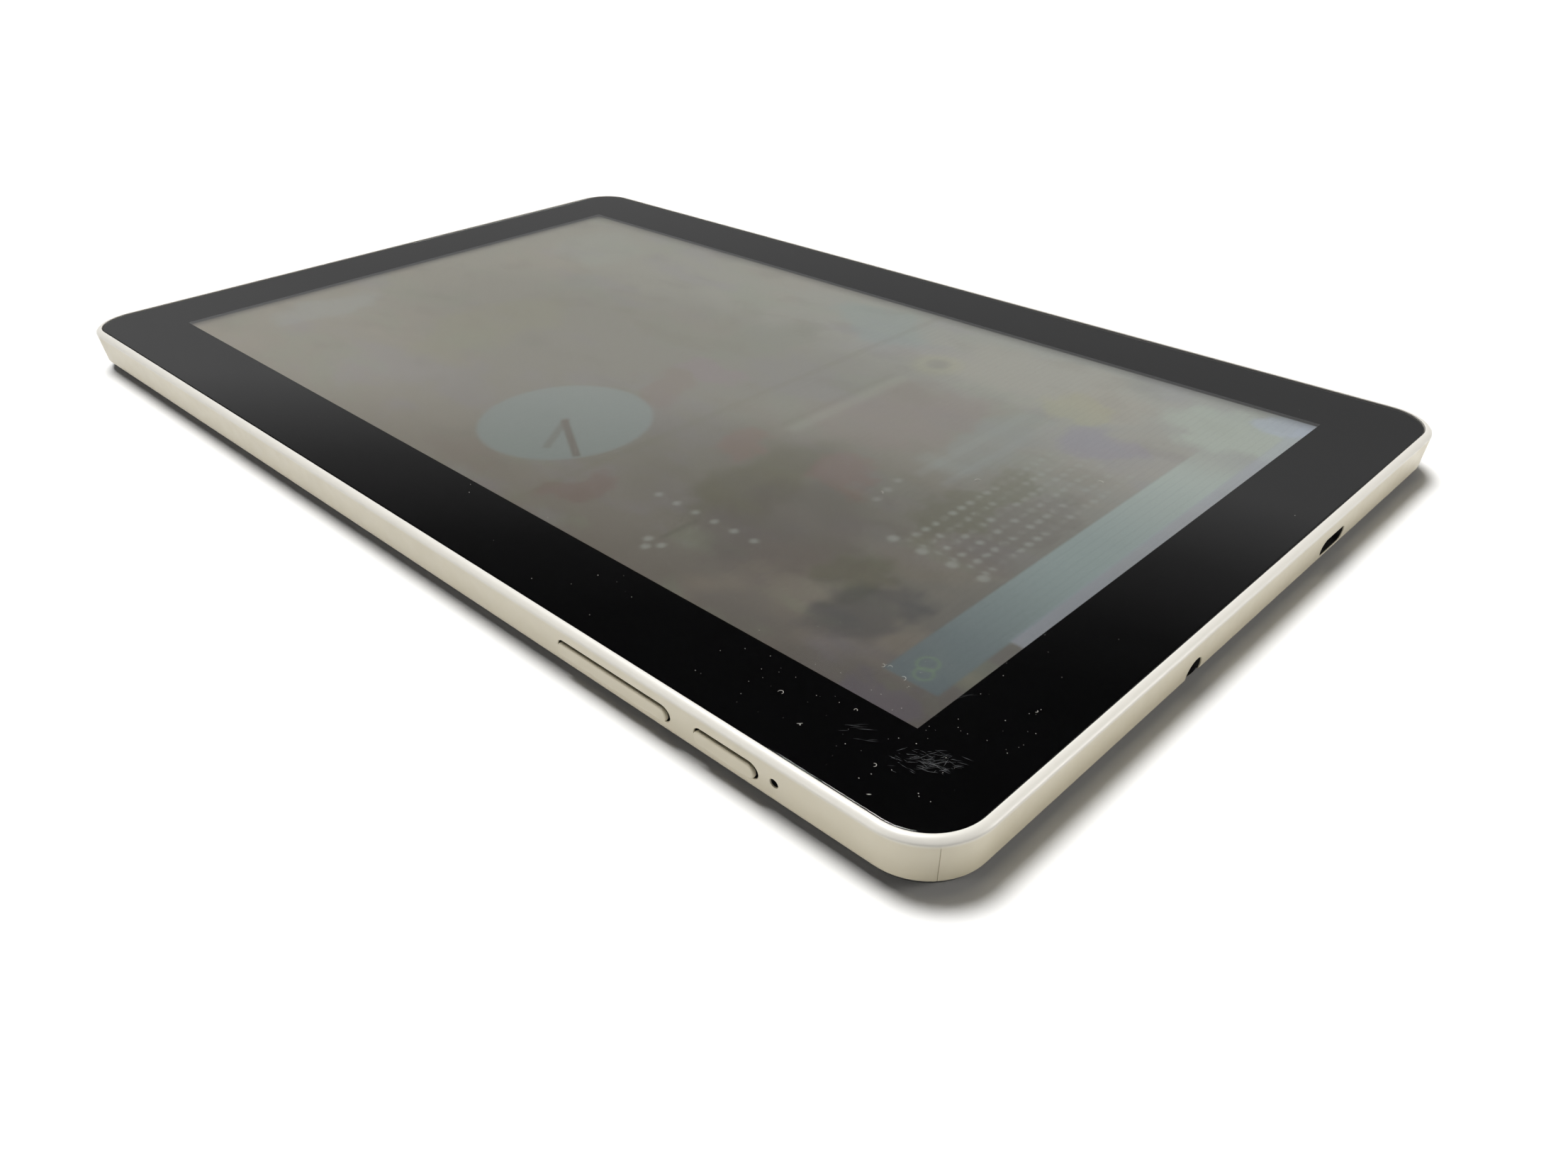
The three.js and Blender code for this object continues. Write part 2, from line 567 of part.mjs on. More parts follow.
add('touch_sensor', lcdLayer(1.5, TOUCH_Z), 'film');
add('lcd_panel', lcdLayer(IN_TRAY, PANEL_Z), 'lcd');
add('diffuser_sheet', lcdLayer(IN_TRAY, DIFFUSER_Z), 'diffuser');
add('light_guide', buildLightGuide(), 'diffuser');
add('led_strip', buildLedStrip(), 'led');
add('lcd_tray', buildLcdTray(), 'pressedSteel');

add('volume_rocker', buildKey(VOLUME_SLOT), 'framePaint');
add('power_button', buildKey(POWER_SLOT), 'framePaint');
add('volume_up_switch', buildKeySwitch(VOLUME_SLOT.centre + ROCKER_ARM), 'blackPlastic');
add('volume_down_switch', buildKeySwitch(VOLUME_SLOT.centre - ROCKER_ARM), 'blackPlastic');
add('power_switch', buildKeySwitch(POWER_SLOT.centre), 'blackPlastic');
add('side_key_board', block(57, 106, -76.1, -75.6, 3.7, 6.7), 'board');
add('microphone', block(MIC_HOLE.x - 1.5, MIC_HOLE.x + 1.5, -78.4, -76.2, 4.2, 6.6), 'pressedSteel');

add('main_board', buildMainBoard(), 'board');
add('processor_shield', shieldCan(78, 106, -14, 20), 'pressedSteel');
add('radio_shield', shieldCan(84, 110, -54, -30), 'pressedSteel');
add('processor', chip(88, 6, 14, 1.1), 'chip');
add('memory_chip', chip(100, 6, 8, 0.9), 'chip');
add('radio_chip', chip(95, -42, 8, 0.9), 'chip');
add('power_chip', chip(76, -36, 7, 0.9), 'chip');
add('usb_port_shell', buildUsbShell(), 'pressedSteel');
add('usb_tongue', buildUsbTongue(), 'blackPlastic');
add('audio_jack', buildAudioJack(), 'blackPlastic');
add('display_flex', buildFlex(DISPLAY_FLEX), 'flex');
add('touch_flex', buildFlex(TOUCH_FLEX), 'flex');

Object.entries(CELL_CENTRES).forEach(([name, x]) => add(name, buildCell(x), 'battery'));
add('battery_protection_board', block(-40, 40, 59.2, 64, 1.4, 2.2), 'board');
add('battery_lead', buildBatteryLead(), 'blackPlastic');

add('speaker_left', buildSpeaker(1), 'blackPlastic');
add('speaker_right', buildSpeaker(-1), 'blackPlastic');
add('front_camera', buildFrontCamera(), 'blackPlastic');
add('rear_camera', buildRearCamera(), 'blackPlastic');
const rearWindow = rod(REAR_CAMERA.x, REAR_CAMERA.y, 0.15, 0.75, REAR_CAMERA.windowRadius, 24);
add('rear_camera_window', rearWindow, 'lens');
add('wifi_antenna', block(70, 104, 76.6, 77.0, 5.4, 7.4), 'flex');

LUG_CENTRES.forEach(([x, y], i) => {
  add(`chassis_screw_${i + 1}`, screw(x, y, 3.8, CHASSIS_Z.low - 0.1, LUG.high - 0.2), 'pressedSteel');
});
BOARD_SCREWS.forEach(([x, y], i) => {
  add(`board_screw_${i + 1}`, screw(x, y, 1.1, BOARD_Z.low - 0.05, CHASSIS_Z.low - 0.3), 'pressedSteel');
});

export default tablet;
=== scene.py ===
"""Looks for the tablet computer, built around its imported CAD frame.

Metres, +Z up, in the CAD's frame: +X is the short side with the ports, -Y the long side with the keys, and
the screen faces +Z. Sizes below are in millimetres and are turned into metres by MM.
"""
import math
import random

import bmesh
import bpy
from mathutils import Matrix, Vector


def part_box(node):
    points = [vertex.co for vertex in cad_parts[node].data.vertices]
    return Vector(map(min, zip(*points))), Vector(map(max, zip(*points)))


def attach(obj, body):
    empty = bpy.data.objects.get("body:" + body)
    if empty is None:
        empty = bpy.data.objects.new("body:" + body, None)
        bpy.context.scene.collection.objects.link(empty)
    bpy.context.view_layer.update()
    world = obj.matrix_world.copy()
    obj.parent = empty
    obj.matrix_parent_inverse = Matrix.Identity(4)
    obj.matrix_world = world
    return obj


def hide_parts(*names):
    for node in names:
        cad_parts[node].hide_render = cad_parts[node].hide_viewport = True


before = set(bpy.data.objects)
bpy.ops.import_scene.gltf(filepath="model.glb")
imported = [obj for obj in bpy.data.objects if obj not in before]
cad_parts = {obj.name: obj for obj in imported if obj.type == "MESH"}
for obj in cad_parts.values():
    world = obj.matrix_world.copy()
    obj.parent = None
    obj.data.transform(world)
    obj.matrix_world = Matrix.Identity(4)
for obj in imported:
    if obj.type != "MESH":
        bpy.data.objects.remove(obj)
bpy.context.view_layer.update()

# ---------------------------------------------------------------- sizes

MM = 0.001


def box_mm(node):
    """A CAD node's lowest and highest corners, in millimetres."""
    low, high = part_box(node)
    return low / MM, high / MM


def middle_mm(node):
    """The middle of a CAD node's box, in millimetres."""
    low, high = box_mm(node)
    return (low + high) / 2


FRAME_LOW, FRAME_HIGH = box_mm("side_frame")
COVER_HIGH = box_mm("rear_cover")[1]
GLASS_LOW, GLASS_HIGH = box_mm("cover_glass")
USB_LOW, USB_HIGH = box_mm("usb_port_shell")
JACK_LOW, JACK_HIGH = box_mm("audio_jack")
VOLUME_LOW, VOLUME_HIGH = box_mm("volume_rocker")
POWER_LOW, POWER_HIGH = box_mm("power_button")
WINDOW_LOW, WINDOW_HIGH = box_mm("rear_camera_window")

HALF_X = FRAME_HIGH.x
HALF_Y = FRAME_HIGH.y
THICKNESS = FRAME_HIGH.z
FOOT_Z = FRAME_LOW.z
CORNER = 10.35

RIM_WIDTH = HALF_X - GLASS_HIGH.x - 0.12
RIM_CROWN = 1.6
RIM_SHOULDER = 0.5
RIM_TURN = math.radians(40.0)
WIDEST_Z = THICKNESS - RIM_CROWN + (RIM_CROWN - RIM_SHOULDER) * math.sin(RIM_TURN)
WALL_INSET = 2.3
LIP_OUTER = WALL_INSET + 0.25
LEDGE_INSET = 3.6
LEDGE_Z = 8.25
WALL_LEAN = math.atan(0.7 / 6.15)

ACTIVE_HALF_X = 222.7 / 2
ACTIVE_HALF_Y = 125.3 / 2

KEY_SLOT_Z = 5.2
KEY_SETTLE = 0.15
KEY_GAP = 0.3
KEY_SLOT_HEIGHT = 3.0
FLANGE_REACH = 0.8
MIC_X = 102.6
MIC_Z = 5.5
MIC_RADIUS = 0.7
USB_Y, USB_Z = middle_mm("usb_port_shell").yz
JACK_Y, JACK_Z = middle_mm("audio_jack").yz
JACK_HOLE_RADIUS = 2.15
USB_HOLE_WIDTH = 9.2
USB_HOLE_HEIGHT = 3.1
PAINT_REACH = 0.24
WALL_CUT = 3.2
COVER_CUT = 1.6
KEY_END = 0.75

CORNER_STEPS = 24
QUARTERS = ((1, 1), (-1, 1), (-1, -1), (1, -1))
X_AXIS = Vector((1, 0, 0))
Y_AXIS = Vector((0, 1, 0))
Z_AXIS = Vector((0, 0, 1))

# ---------------------------------------------------------------- meshes


def rounded_ring(half_x, half_y, radius, z, steps):
    """A rectangle with rounded corners at height z, anticlockwise from its +X side."""
    points = []
    for quarter, (side_x, side_y) in enumerate(QUARTERS):
        for step in range(steps + 1):
            angle = (quarter + step / steps) * math.pi / 2
            x = side_x * (half_x - radius) + radius * math.cos(angle)
            y = side_y * (half_y - radius) + radius * math.sin(angle)
            points.append(Vector((x, y, z)))
    return points


def outline(inset, z):
    """The tablet's outline moved in by inset."""
    radius = max(CORNER - inset, 0.5)
    return rounded_ring(HALF_X - inset, HALF_Y - inset, radius, z, CORNER_STEPS)


def long_ring(width, height, depth, steps=12):
    """A bar in the XY plane whose short ends are round but for a sliver."""
    return rounded_ring(width / 2, height / 2, min(width, height) / 2 - 0.02, depth, steps)


def circle(radius, depth, sides):
    """A circle in the XY plane, at z = depth, anticlockwise."""
    turns = [2 * math.pi * i / sides for i in range(sides)]
    return [Vector((radius * math.cos(a), radius * math.sin(a), depth)) for a in turns]


def arc(centre, radius, start, end, steps):
    """Points on an arc in a section, as (inset, z) pairs, from angle start to end in degrees."""
    angles = [math.radians(start + (end - start) * i / steps) for i in range(steps + 1)]
    return [(centre[0] - radius * math.cos(a), centre[1] + radius * math.sin(a)) for a in angles]


def add_loft(mesh, rings, closed=False, place=Matrix.Identity(4)):
    """Adds walls between rings of equal length. Closed joins the last to the first; open is capped."""
    made = [[mesh.verts.new((place @ point) * MM) for point in ring] for ring in rings]
    count = len(rings[0])
    pairs = list(zip(made, made[1:]))
    if closed:
        pairs.append((made[-1], made[0]))
    for low, high in pairs:
        for i in range(count):
            j = (i + 1) % count
            mesh.faces.new((low[i], low[j], high[j], high[i]))
    if not closed:
        mesh.faces.new(list(reversed(made[0])))
        mesh.faces.new(made[-1])


def add_block(mesh, low, high):
    """Adds a box between two corners."""
    ring = [(low[0], low[1]), (high[0], low[1]), (high[0], high[1]), (low[0], high[1])]
    add_loft(mesh, [[Vector((x, y, z)) for x, y in ring] for z in (low[2], high[2])])


def add_object(name, data):
    """A new object with this data, linked into the scene."""
    made = bpy.data.objects.new(name, data)
    bpy.context.scene.collection.objects.link(made)
    return made


def finish_mesh(mesh, name):
    """Turns a bmesh into an object, its faces pointing out."""
    bmesh.ops.recalc_face_normals(mesh, faces=mesh.faces)
    data = bpy.data.meshes.new(name)
    mesh.to_mesh(data)
    mesh.free()
    return add_object(name, data)


def blocks(name, boxes):
    """An object made of boxes, each given by two corners."""
    mesh = bmesh.new()
    for low, high in boxes:
        add_block(mesh, low, high)
    return finish_mesh(mesh, name)


def lofted(name, rings, closed=False, place=Matrix.Identity(4)):
    """An object made of one loft."""
    mesh = bmesh.new()
    add_loft(mesh, rings, closed, place)
    return finish_mesh(mesh, name)


def apply_modifiers(piece):
    """Bakes the modifiers into the mesh."""
    bpy.context.view_layer.update()
    evaluated = piece.evaluated_get(bpy.context.evaluated_depsgraph_get())
    made = bpy.data.meshes.new_from_object(evaluated)
    piece.modifiers.clear()
    old = piece.data
    piece.data = made
    bpy.data.meshes.remove(old)
    made.name = piece.name


def combine(piece, tools, operation):
    """Joins the tools to the piece, or cuts them from it, and removes them."""
    for tool in tools:
        step = piece.modifiers.new("step", "BOOLEAN")
        step.operation = operation
        step.solver = "EXACT"
        step.object = tool
    apply_modifiers(piece)
    for tool in tools:
        bpy.data.objects.remove(tool)


def smooth(piece, angle=32.0):
    """Smooth shading with edges sharper than angle kept, and flats kept flat."""
    piece.data.shade_smooth()
    piece.data.set_sharp_from_angle(angle=math.radians(angle))
    weighted = piece.modifiers.new("weighted", "WEIGHTED_NORMAL")
    weighted.keep_sharp = True
    apply_modifiers(piece)


def set_up(piece, material, body, slot, *replaced):
    """Gives a piece its material and body, and hides the CAD nodes that it stands for. The slot is not used.
    """
    piece.data.materials.clear()
    piece.data.materials.append(material)
    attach(piece, body)
    if replaced:
        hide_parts(*replaced)


def wall_inset(z):
    """How far the leaning side wall is inside the outline at height z."""
    start_inset = RIM_SHOULDER * (1 - math.cos(WALL_LEAN))
    start_z = WIDEST_Z - RIM_SHOULDER * math.sin(WALL_LEAN)
    return start_inset + (start_z - z) * math.tan(WALL_LEAN)


def on_long_wall(x, z):
    """Places something on the -Y wall: its X along +X, its Y up the wall, its Z into the wall."""
    origin = Vector((x, -(HALF_Y - wall_inset(z)), z))
    up = Vector((0, -math.sin(WALL_LEAN), math.cos(WALL_LEAN)))
    return placed(origin, X_AXIS, up)


def on_short_wall(y, z):
    """Places something on the +X wall: its X along +Y, its Y up the wall, its Z into the wall."""
    origin = Vector((HALF_X - wall_inset(z), y, z))
    up = Vector((math.sin(WALL_LEAN), 0, math.cos(WALL_LEAN)))
    return placed(origin, Y_AXIS, up)


def placed(origin, along, up):
    """A matrix with the given origin and first two axes; the third points into the wall."""
    inward = up.cross(along)
    matrix = Matrix((along, up, inward)).transposed().to_4x4()
    matrix.translation = origin
    return matrix


def headed(heading):
    """The level direction at an angle from +X, and the one a quarter turn from it."""
    along = Vector((math.cos(heading), math.sin(heading), 0.0))
    return along, Vector((-along.y, along.x, 0.0))


# ---------------------------------------------------------------- material helpers


class Shader:
    """One material's node tree, with short calls for the nodes that are used here."""

    def __init__(self, name, colour, roughness, metallic=0.0):
        self.material = bpy.data.materials.new(name)
        self.material.use_nodes = True
        self.tree = self.material.node_tree
        self.bsdf = self.tree.nodes["Principled BSDF"]
        self.put("Base Color", colour)
        self.put("Roughness", roughness)
        self.put("Metallic", metallic)
        self.place = self.tree.nodes.new("ShaderNodeTexCoord").outputs["Object"]

    def put(self, socket, value):
        """Sets or links one of the shader's own sockets."""
        self.feed(self.bsdf.inputs[socket], value)

    def feed(self, socket, value):
        """Links value to socket if it is a socket, and sets it otherwise. A colour gets its alpha here."""
        if isinstance(value, bpy.types.NodeSocket):
            self.tree.links.new(value, socket)
        elif socket.type == "RGBA":
            socket.default_value = (*value, 1.0)
        else:
            socket.default_value = value

    def math(self, operation, first, second=0.0, clamp=False):
        node = self.tree.nodes.new("ShaderNodeMath")
        node.operation = operation
        node.use_clamp = clamp
        self.feed(node.inputs[0], first)
        self.feed(node.inputs[1], second)
        return node.outputs[0]

    def both(self, first, second):
        """Two masks or values multiplied."""
        return self.math("MULTIPLY", first, second)

    def ramp(self, value, start, end, low=0.0, high=1.0):
        """Goes smoothly from low to high as value goes from start to end."""
        node = self.tree.nodes.new("ShaderNodeMapRange")
        node.interpolation_type = "SMOOTHSTEP"
        for socket, content in zip(node.inputs, (value, start, end, low, high)):
            self.feed(socket, content)
        return node.outputs[0]

    def scaled(self, factors, turn=0.0):
        """The position in millimetres, turned about Z by turn degrees and then scaled."""
        mapping = self.tree.nodes.new("ShaderNodeMapping")
        mapping.vector_type = "POINT"
        self.feed(mapping.inputs["Vector"], self.place)
        mapping.inputs["Rotation"].default_value = (0.0, 0.0, math.radians(turn))
        mapping.inputs["Scale"].default_value = [factor / MM for factor in factors]
        return mapping.outputs[0]

    def millimetres(self):
        """The position's three coordinates, in millimetres."""
        node = self.tree.nodes.new("ShaderNodeSeparateXYZ")
        self.feed(node.inputs[0], self.scaled((1.0, 1.0, 1.0)))
        return node.outputs

    def noise(self, size, detail=4.0, stretch=(1.0, 1.0, 1.0), turn=0.0):
        """Noise whose lumps are about size millimetres across, from 0 to 1."""
        node = self.tree.nodes.new("ShaderNodeTexNoise")
        self.feed(node.inputs["Vector"], self.scaled([1.0 / (size * s) for s in stretch], turn))
        node.inputs["Scale"].default_value = 1.0
        node.inputs["Detail"].default_value = detail
        node.inputs["Roughness"].default_value = 0.55
        return node.outputs["Fac"]

    def cells(self, size):
        """Distance to the nearest of points scattered size millimetres apart."""
        node = self.tree.nodes.new("ShaderNodeTexVoronoi")
        self.feed(node.inputs["Vector"], self.scaled([1.0 / size] * 3))
        node.inputs["Scale"].default_value = 1.0
        return node.outputs["Distance"]

    def waves(self, factors, bands="X", distortion=0.0):
        """Bands across one axis, from 0 to 1."""
        node = self.tree.nodes.new("ShaderNodeTexWave")
        node.bands_direction = bands
        self.feed(node.inputs["Vector"], self.scaled(factors))
        for name, value in (("Scale", 1.0), ("Distortion", distortion), ("Detail", 0.0)):
            node.inputs[name].default_value = value
        return node.outputs["Fac"]

    def mix(self, mask, first, second):
        """First where the mask is 0, second where it is 1. Both are colours."""
        node = self.tree.nodes.new("ShaderNodeMix")
        node.data_type = "RGBA"
        self.feed(node.inputs["Factor"], mask)
        colours = [socket for socket in node.inputs if socket.type == "RGBA"]
        self.feed(colours[0], first)
        self.feed(colours[1], second)
        return next(output for output in node.outputs if output.type == "RGBA")

    def tint(self, mask, first, second):
        """Colours the surface: first where the mask is 0, second where it is 1."""
        self.put("Base Color", self.mix(mask, first, second))

    def gloss(self, noise, smoothest, roughest):
        """Lets the roughness follow a noise, most of which lies between 0.3 and 0.7."""
        self.put("Roughness", self.ramp(noise, 0.3, 0.7, smoothest, roughest))

    def bump(self, height, depth, previous=None):
        """Bump of the given depth in millimetres."""
        node = self.tree.nodes.new("ShaderNodeBump")
        node.inputs["Distance"].default_value = depth * MM
        self.feed(node.inputs["Height"], height)
        if previous is not None:
            self.feed(node.inputs["Normal"], previous)
        self.put("Normal", node.outputs[0])
        return node.outputs[0]


def linear(red, green, blue):
    """A colour given in 0-255 display values, as linear light."""
    channels = []
    for value in (red, green, blue):
        share = value / 255
        channels.append(share / 12.92 if share <= 0.04045 else ((share + 0.055) / 1.055) ** 2.4)
    return tuple(channels)


# ---------------------------------------------------------------- materials


def painted(name, colour, shade, roughness=0.42, rim_highlight=None):
    """Satin paint: orange peel, faint clouding and a few specks of dirt. Given a highlight colour for its top
    edge, it also gets painted light: painted shade that darkens the wall towards its foot, and a painted
    highlight along the top edge.
    """
    shader = Shader(name, colour, roughness)
    clouds = shader.ramp(shader.noise(14.0, detail=3.0), 0.35, 0.7, 0.0, 0.5)
    tinted = shader.mix(clouds, colour, shade)
    if rim_highlight is not None:
        height = shader.millimetres()["Z"]
        # Painted shade: the paint grows darker from the widest line down towards the foot.
        tinted = shader.mix(shader.ramp(height, WIDEST_Z, FOOT_Z + 0.5, 0.0, 0.8), tinted, shade)
        # Painted highlight: above the widest line, the top edge takes the highlight colour.
        tinted = shader.mix(shader.ramp(height, WIDEST_Z - 0.5, WIDEST_Z + 0.3), tinted, rim_highlight)
    specks = shader.ramp(shader.cells(9.0), 0.020, 0.012)
    dirt = shader.both(specks, shader.ramp(shader.noise(30.0), 0.52, 0.6))
    shader.tint(shader.both(dirt, 0.7), tinted, linear(96, 88, 74))
    shader.gloss(shader.noise(3.0), roughness - 0.05, roughness + 0.06)
    shader.put("Coat Weight", 0.5)
    shader.put("Coat Roughness", 0.34)
    grain = shader.bump(shader.noise(0.16, detail=2.0), 0.006)
    shader.bump(shader.noise(0.9, detail=2.0), 0.01, grain)
    return shader.material


def moulded(name, colour, roughness=0.55):
    """Moulded plastic with a fine matt texture."""
    shader = Shader(name, colour, roughness)
    lighter = [min(1.0, c * 1.5 + 0.01) for c in colour]
    shader.tint(shader.ramp(shader.noise(4.0), 0.4, 0.7), colour, lighter)
    shader.gloss(shader.noise(1.2), roughness - 0.08, roughness + 0.08)
    shader.bump(shader.noise(0.25, detail=3.0), 0.015)
    return shader.material


def pressed_metal(name, colour, turn=0.0):
    """Thin rolled metal: long fine rolling lines and a little staining."""
    shader = Shader(name, colour, 0.34, metallic=1.0)
    lines = shader.noise(0.25, detail=3.0, stretch=(40.0, 1.0, 1.0), turn=turn)
    duller = [c * 0.7 for c in colour]
    shader.tint(shader.ramp(shader.noise(11.0), 0.45, 0.75), colour, duller)
    shader.gloss(lines, 0.26, 0.44)
    shader.bump(lines, 0.006)
    return shader.material


def circuit_board(name):
    """Green solder mask over copper tracks, with tinned pads."""
    mask = linear(20, 74, 48)
    shader = Shader(name, mask, 0.38)
    tracks = shader.ramp(shader.waves([0.55] * 3, distortion=3.5), 0.62, 0.7)
    pads = shader.ramp(shader.cells(3.2), 0.17, 0.13)
    shader.tint(pads, shader.mix(tracks, mask, linear(34, 104, 66)), linear(190, 188, 180))
    shader.put("Metallic", pads)
    shader.bump(shader.math("ADD", tracks, pads), 0.03)
    return shader.material


def flexible_circuit(name):
    """Amber film over fine copper lines."""
    shader = Shader(name, linear(176, 104, 34), 0.32)
    copper = shader.ramp(shader.waves([0.6] * 3, bands="Y"), 0.45, 0.6)
    shader.tint(copper, linear(150, 82, 24), linear(206, 138, 66))
    shader.bump(copper, 0.02)
    return shader.material


def battery_pouch(name):
    """Dark laminated pouch with soft creases."""
    shader = Shader(name, linear(58, 60, 66), 0.36, metallic=0.35)
    creases = shader.noise(7.0, detail=6.0, stretch=(1.0, 2.2, 1.0), turn=20.0)
    # Painted shade and highlight: the pouch is darker in the hollows of its creases and lighter on their
    # ridges.
    shader.tint(creases, linear(44, 46, 52), linear(76, 78, 84))
    shader.gloss(creases, 0.28, 0.46)
    shader.bump(creases, 0.12)
    return shader.material


def optical_sheet(name, colour, roughness):
    """White or clear optical plastic with a fine prism texture."""
    shader = Shader(name, colour, roughness)
    warmer = [c * f for c, f in zip(colour, (1.0, 0.98, 0.93))]
    shader.tint(shader.noise(40.0), colour, warmer)
    shader.bump(shader.waves([1.6] * 3), 0.01)
    return shader.material


def black_border(name):
    """Black ink printed on the back of the glass, with a faint cloudiness."""
    shader = Shader(name, linear(4, 4, 5), 0.5)
    shader.put("Specular IOR Level", 0.0)
    shader.tint(shader.noise(22.0, detail=3.0), linear(2, 2, 3), linear(8, 8, 9))
    shader.gloss(shader.noise(1.0), 0.3, 0.42)
    return shader.material


def cover_glass(name):
    """Clear glass with finger smears that show only in its gloss."""
    shader = Shader(name, (0.985, 0.99, 0.99), 0.05)
    shader.put("Transmission Weight", 1.0)
    shader.put("IOR", 1.5)
    smears = shader.noise(26.0, detail=5.0, stretch=(2.4, 1.0, 1.0), turn=35.0)
    shader.put("Roughness", shader.ramp(smears, 0.4, 0.75, 0.02, 0.06))
    shader.bump(shader.noise(45.0, detail=1.0), 0.004)
    return shader.material


def clear_film(name):
    """The touch sensor: almost invisible, with a faint grid of conductors."""
    shader = Shader(name, linear(70, 74, 74), 0.35)
    shader.put("Alpha", shader.ramp(shader.waves([0.2] * 3), 0.9, 1.0, 0.012, 0.03))
    return shader.material


def lens_glass(name):
    """Dark coated lens glass."""
    shader = Shader(name, linear(10, 12, 20), 0.06)
    shader.put("Coat Weight", 1.0)
    shader.tint(shader.noise(5.0), linear(8, 9, 16), linear(20, 24, 44))
    return shader.material


def lint(name, colour):
    """Pale dust and fibres."""
    shader = Shader(name, colour, 0.85)
    shader.tint(shader.noise(0.3), [c * 0.6 for c in colour], colour)
    return shader.material


def lamp_row(name):
    """The backlight's row of white lamps."""
    lamp_white = linear(245, 240, 215)
    shader = Shader(name, lamp_white, 0.4)
    lit = shader.ramp(shader.waves((0.35, 0.0, 0.0)), 0.5, 0.65)
    shader.tint(lit, linear(60, 58, 50), lamp_white)
    return shader.material


# ---------------------------------------------------------------- what the screen shows


class Picture(Shader):
    """The lit panel. Shapes are placed in millimetres from its middle and laid over each other."""

    def __init__(self, name):
        super().__init__(name, linear(8, 8, 8), 0.3)
        self.exact = self.millimetres()[:2]
        self.warped = [self.math("ADD", value, self.wander(size))
                       for value, size in zip(self.exact, (11.0, 13.0))]
        self.image = None

    def wander(self, size):
        """A slow drift of up to a few millimetres, which gives soft patches uneven edges."""
        return self.ramp(self.noise(size, detail=3.0), 0.3, 0.7, -3.5, 3.5)

    def local(self, centre, turn, position):
        """The position measured from centre along axes turned by turn degrees."""
        dx = self.math("SUBTRACT", position[0], centre[0])
        dy = self.math("SUBTRACT", position[1], centre[1])
        if not turn:
            return dx, dy
        cos, sin = math.cos(math.radians(turn)), math.sin(math.radians(turn))
        along = self.math("ADD", self.both(dx, cos), self.both(dy, sin))
        across = self.math("SUBTRACT", self.both(dy, cos), self.both(dx, sin))
        return along, across

    def distance(self, along, across):
        return self.math("SQRT", self.math("ADD", self.both(along, along), self.both(across, across)))

    def disc(self, centre, radius, blur):
        return self.ramp(self.distance(*self.local(centre, 0, self.exact)), radius + blur, radius - blur)

    def ring(self, centre, radius, width, blur):
        reach = self.distance(*self.local(centre, 0, self.exact))
        off = self.math("ABSOLUTE", self.math("SUBTRACT", reach, radius))
        return self.ramp(off, width / 2 + blur, width / 2 - blur)

    def bar(self, centre, half, blur, turn=0.0):
        along, across = self.local(centre, turn, self.exact)
        ends = self.ramp(self.math("ABSOLUTE", along), half[0] + blur, half[0] - blur)
        sides = self.ramp(self.math("ABSOLUTE", across), half[1] + blur, half[1] - blur)
        return self.both(ends, sides)

    def patch(self, centre, half, turn=0.0):
        """A soft oval patch with an uneven edge."""
        along, across = self.local(centre, turn, self.warped)
        reach = self.distance(self.math("DIVIDE", along, half[0]), self.math("DIVIDE", across, half[1]))
        return self.ramp(reach, 1.2, 0.65)

    def dots(self, pitch, radius, blur, first):
        """A field of round dots, one of them at first."""
        offsets = []
        for value, step, start in zip(self.exact, pitch, first):
            turns = self.math("DIVIDE", self.math("SUBTRACT", value, start - step / 2), step)
            part = self.math("SUBTRACT", self.math("FRACT", turns), 0.5)
            offsets.append(self.both(part, step))
        return self.ramp(self.distance(*offsets), radius + blur, radius - blur)

    def lay(self, mask, colour, strength):
        """Lays a colour over the picture where the mask is 1."""
        self.image = self.mix(self.both(mask, strength), self.image, linear(*colour))

    def spread(self, near_left, near_right, far_left, far_right):
        """Starts the picture as a smooth blend between its four corners."""
        shares = []
        for value, half in zip(self.exact, (ACTIVE_HALF_X, ACTIVE_HALF_Y)):
            shares.append(self.math("DIVIDE", self.math("ADD", value, half), 2 * half, clamp=True))
        near = self.mix(shares[0], linear(*near_left), linear(*near_right))
        far = self.mix(shares[0], linear(*far_left), linear(*far_right))
        self.image = self.mix(shares[1], near, far)


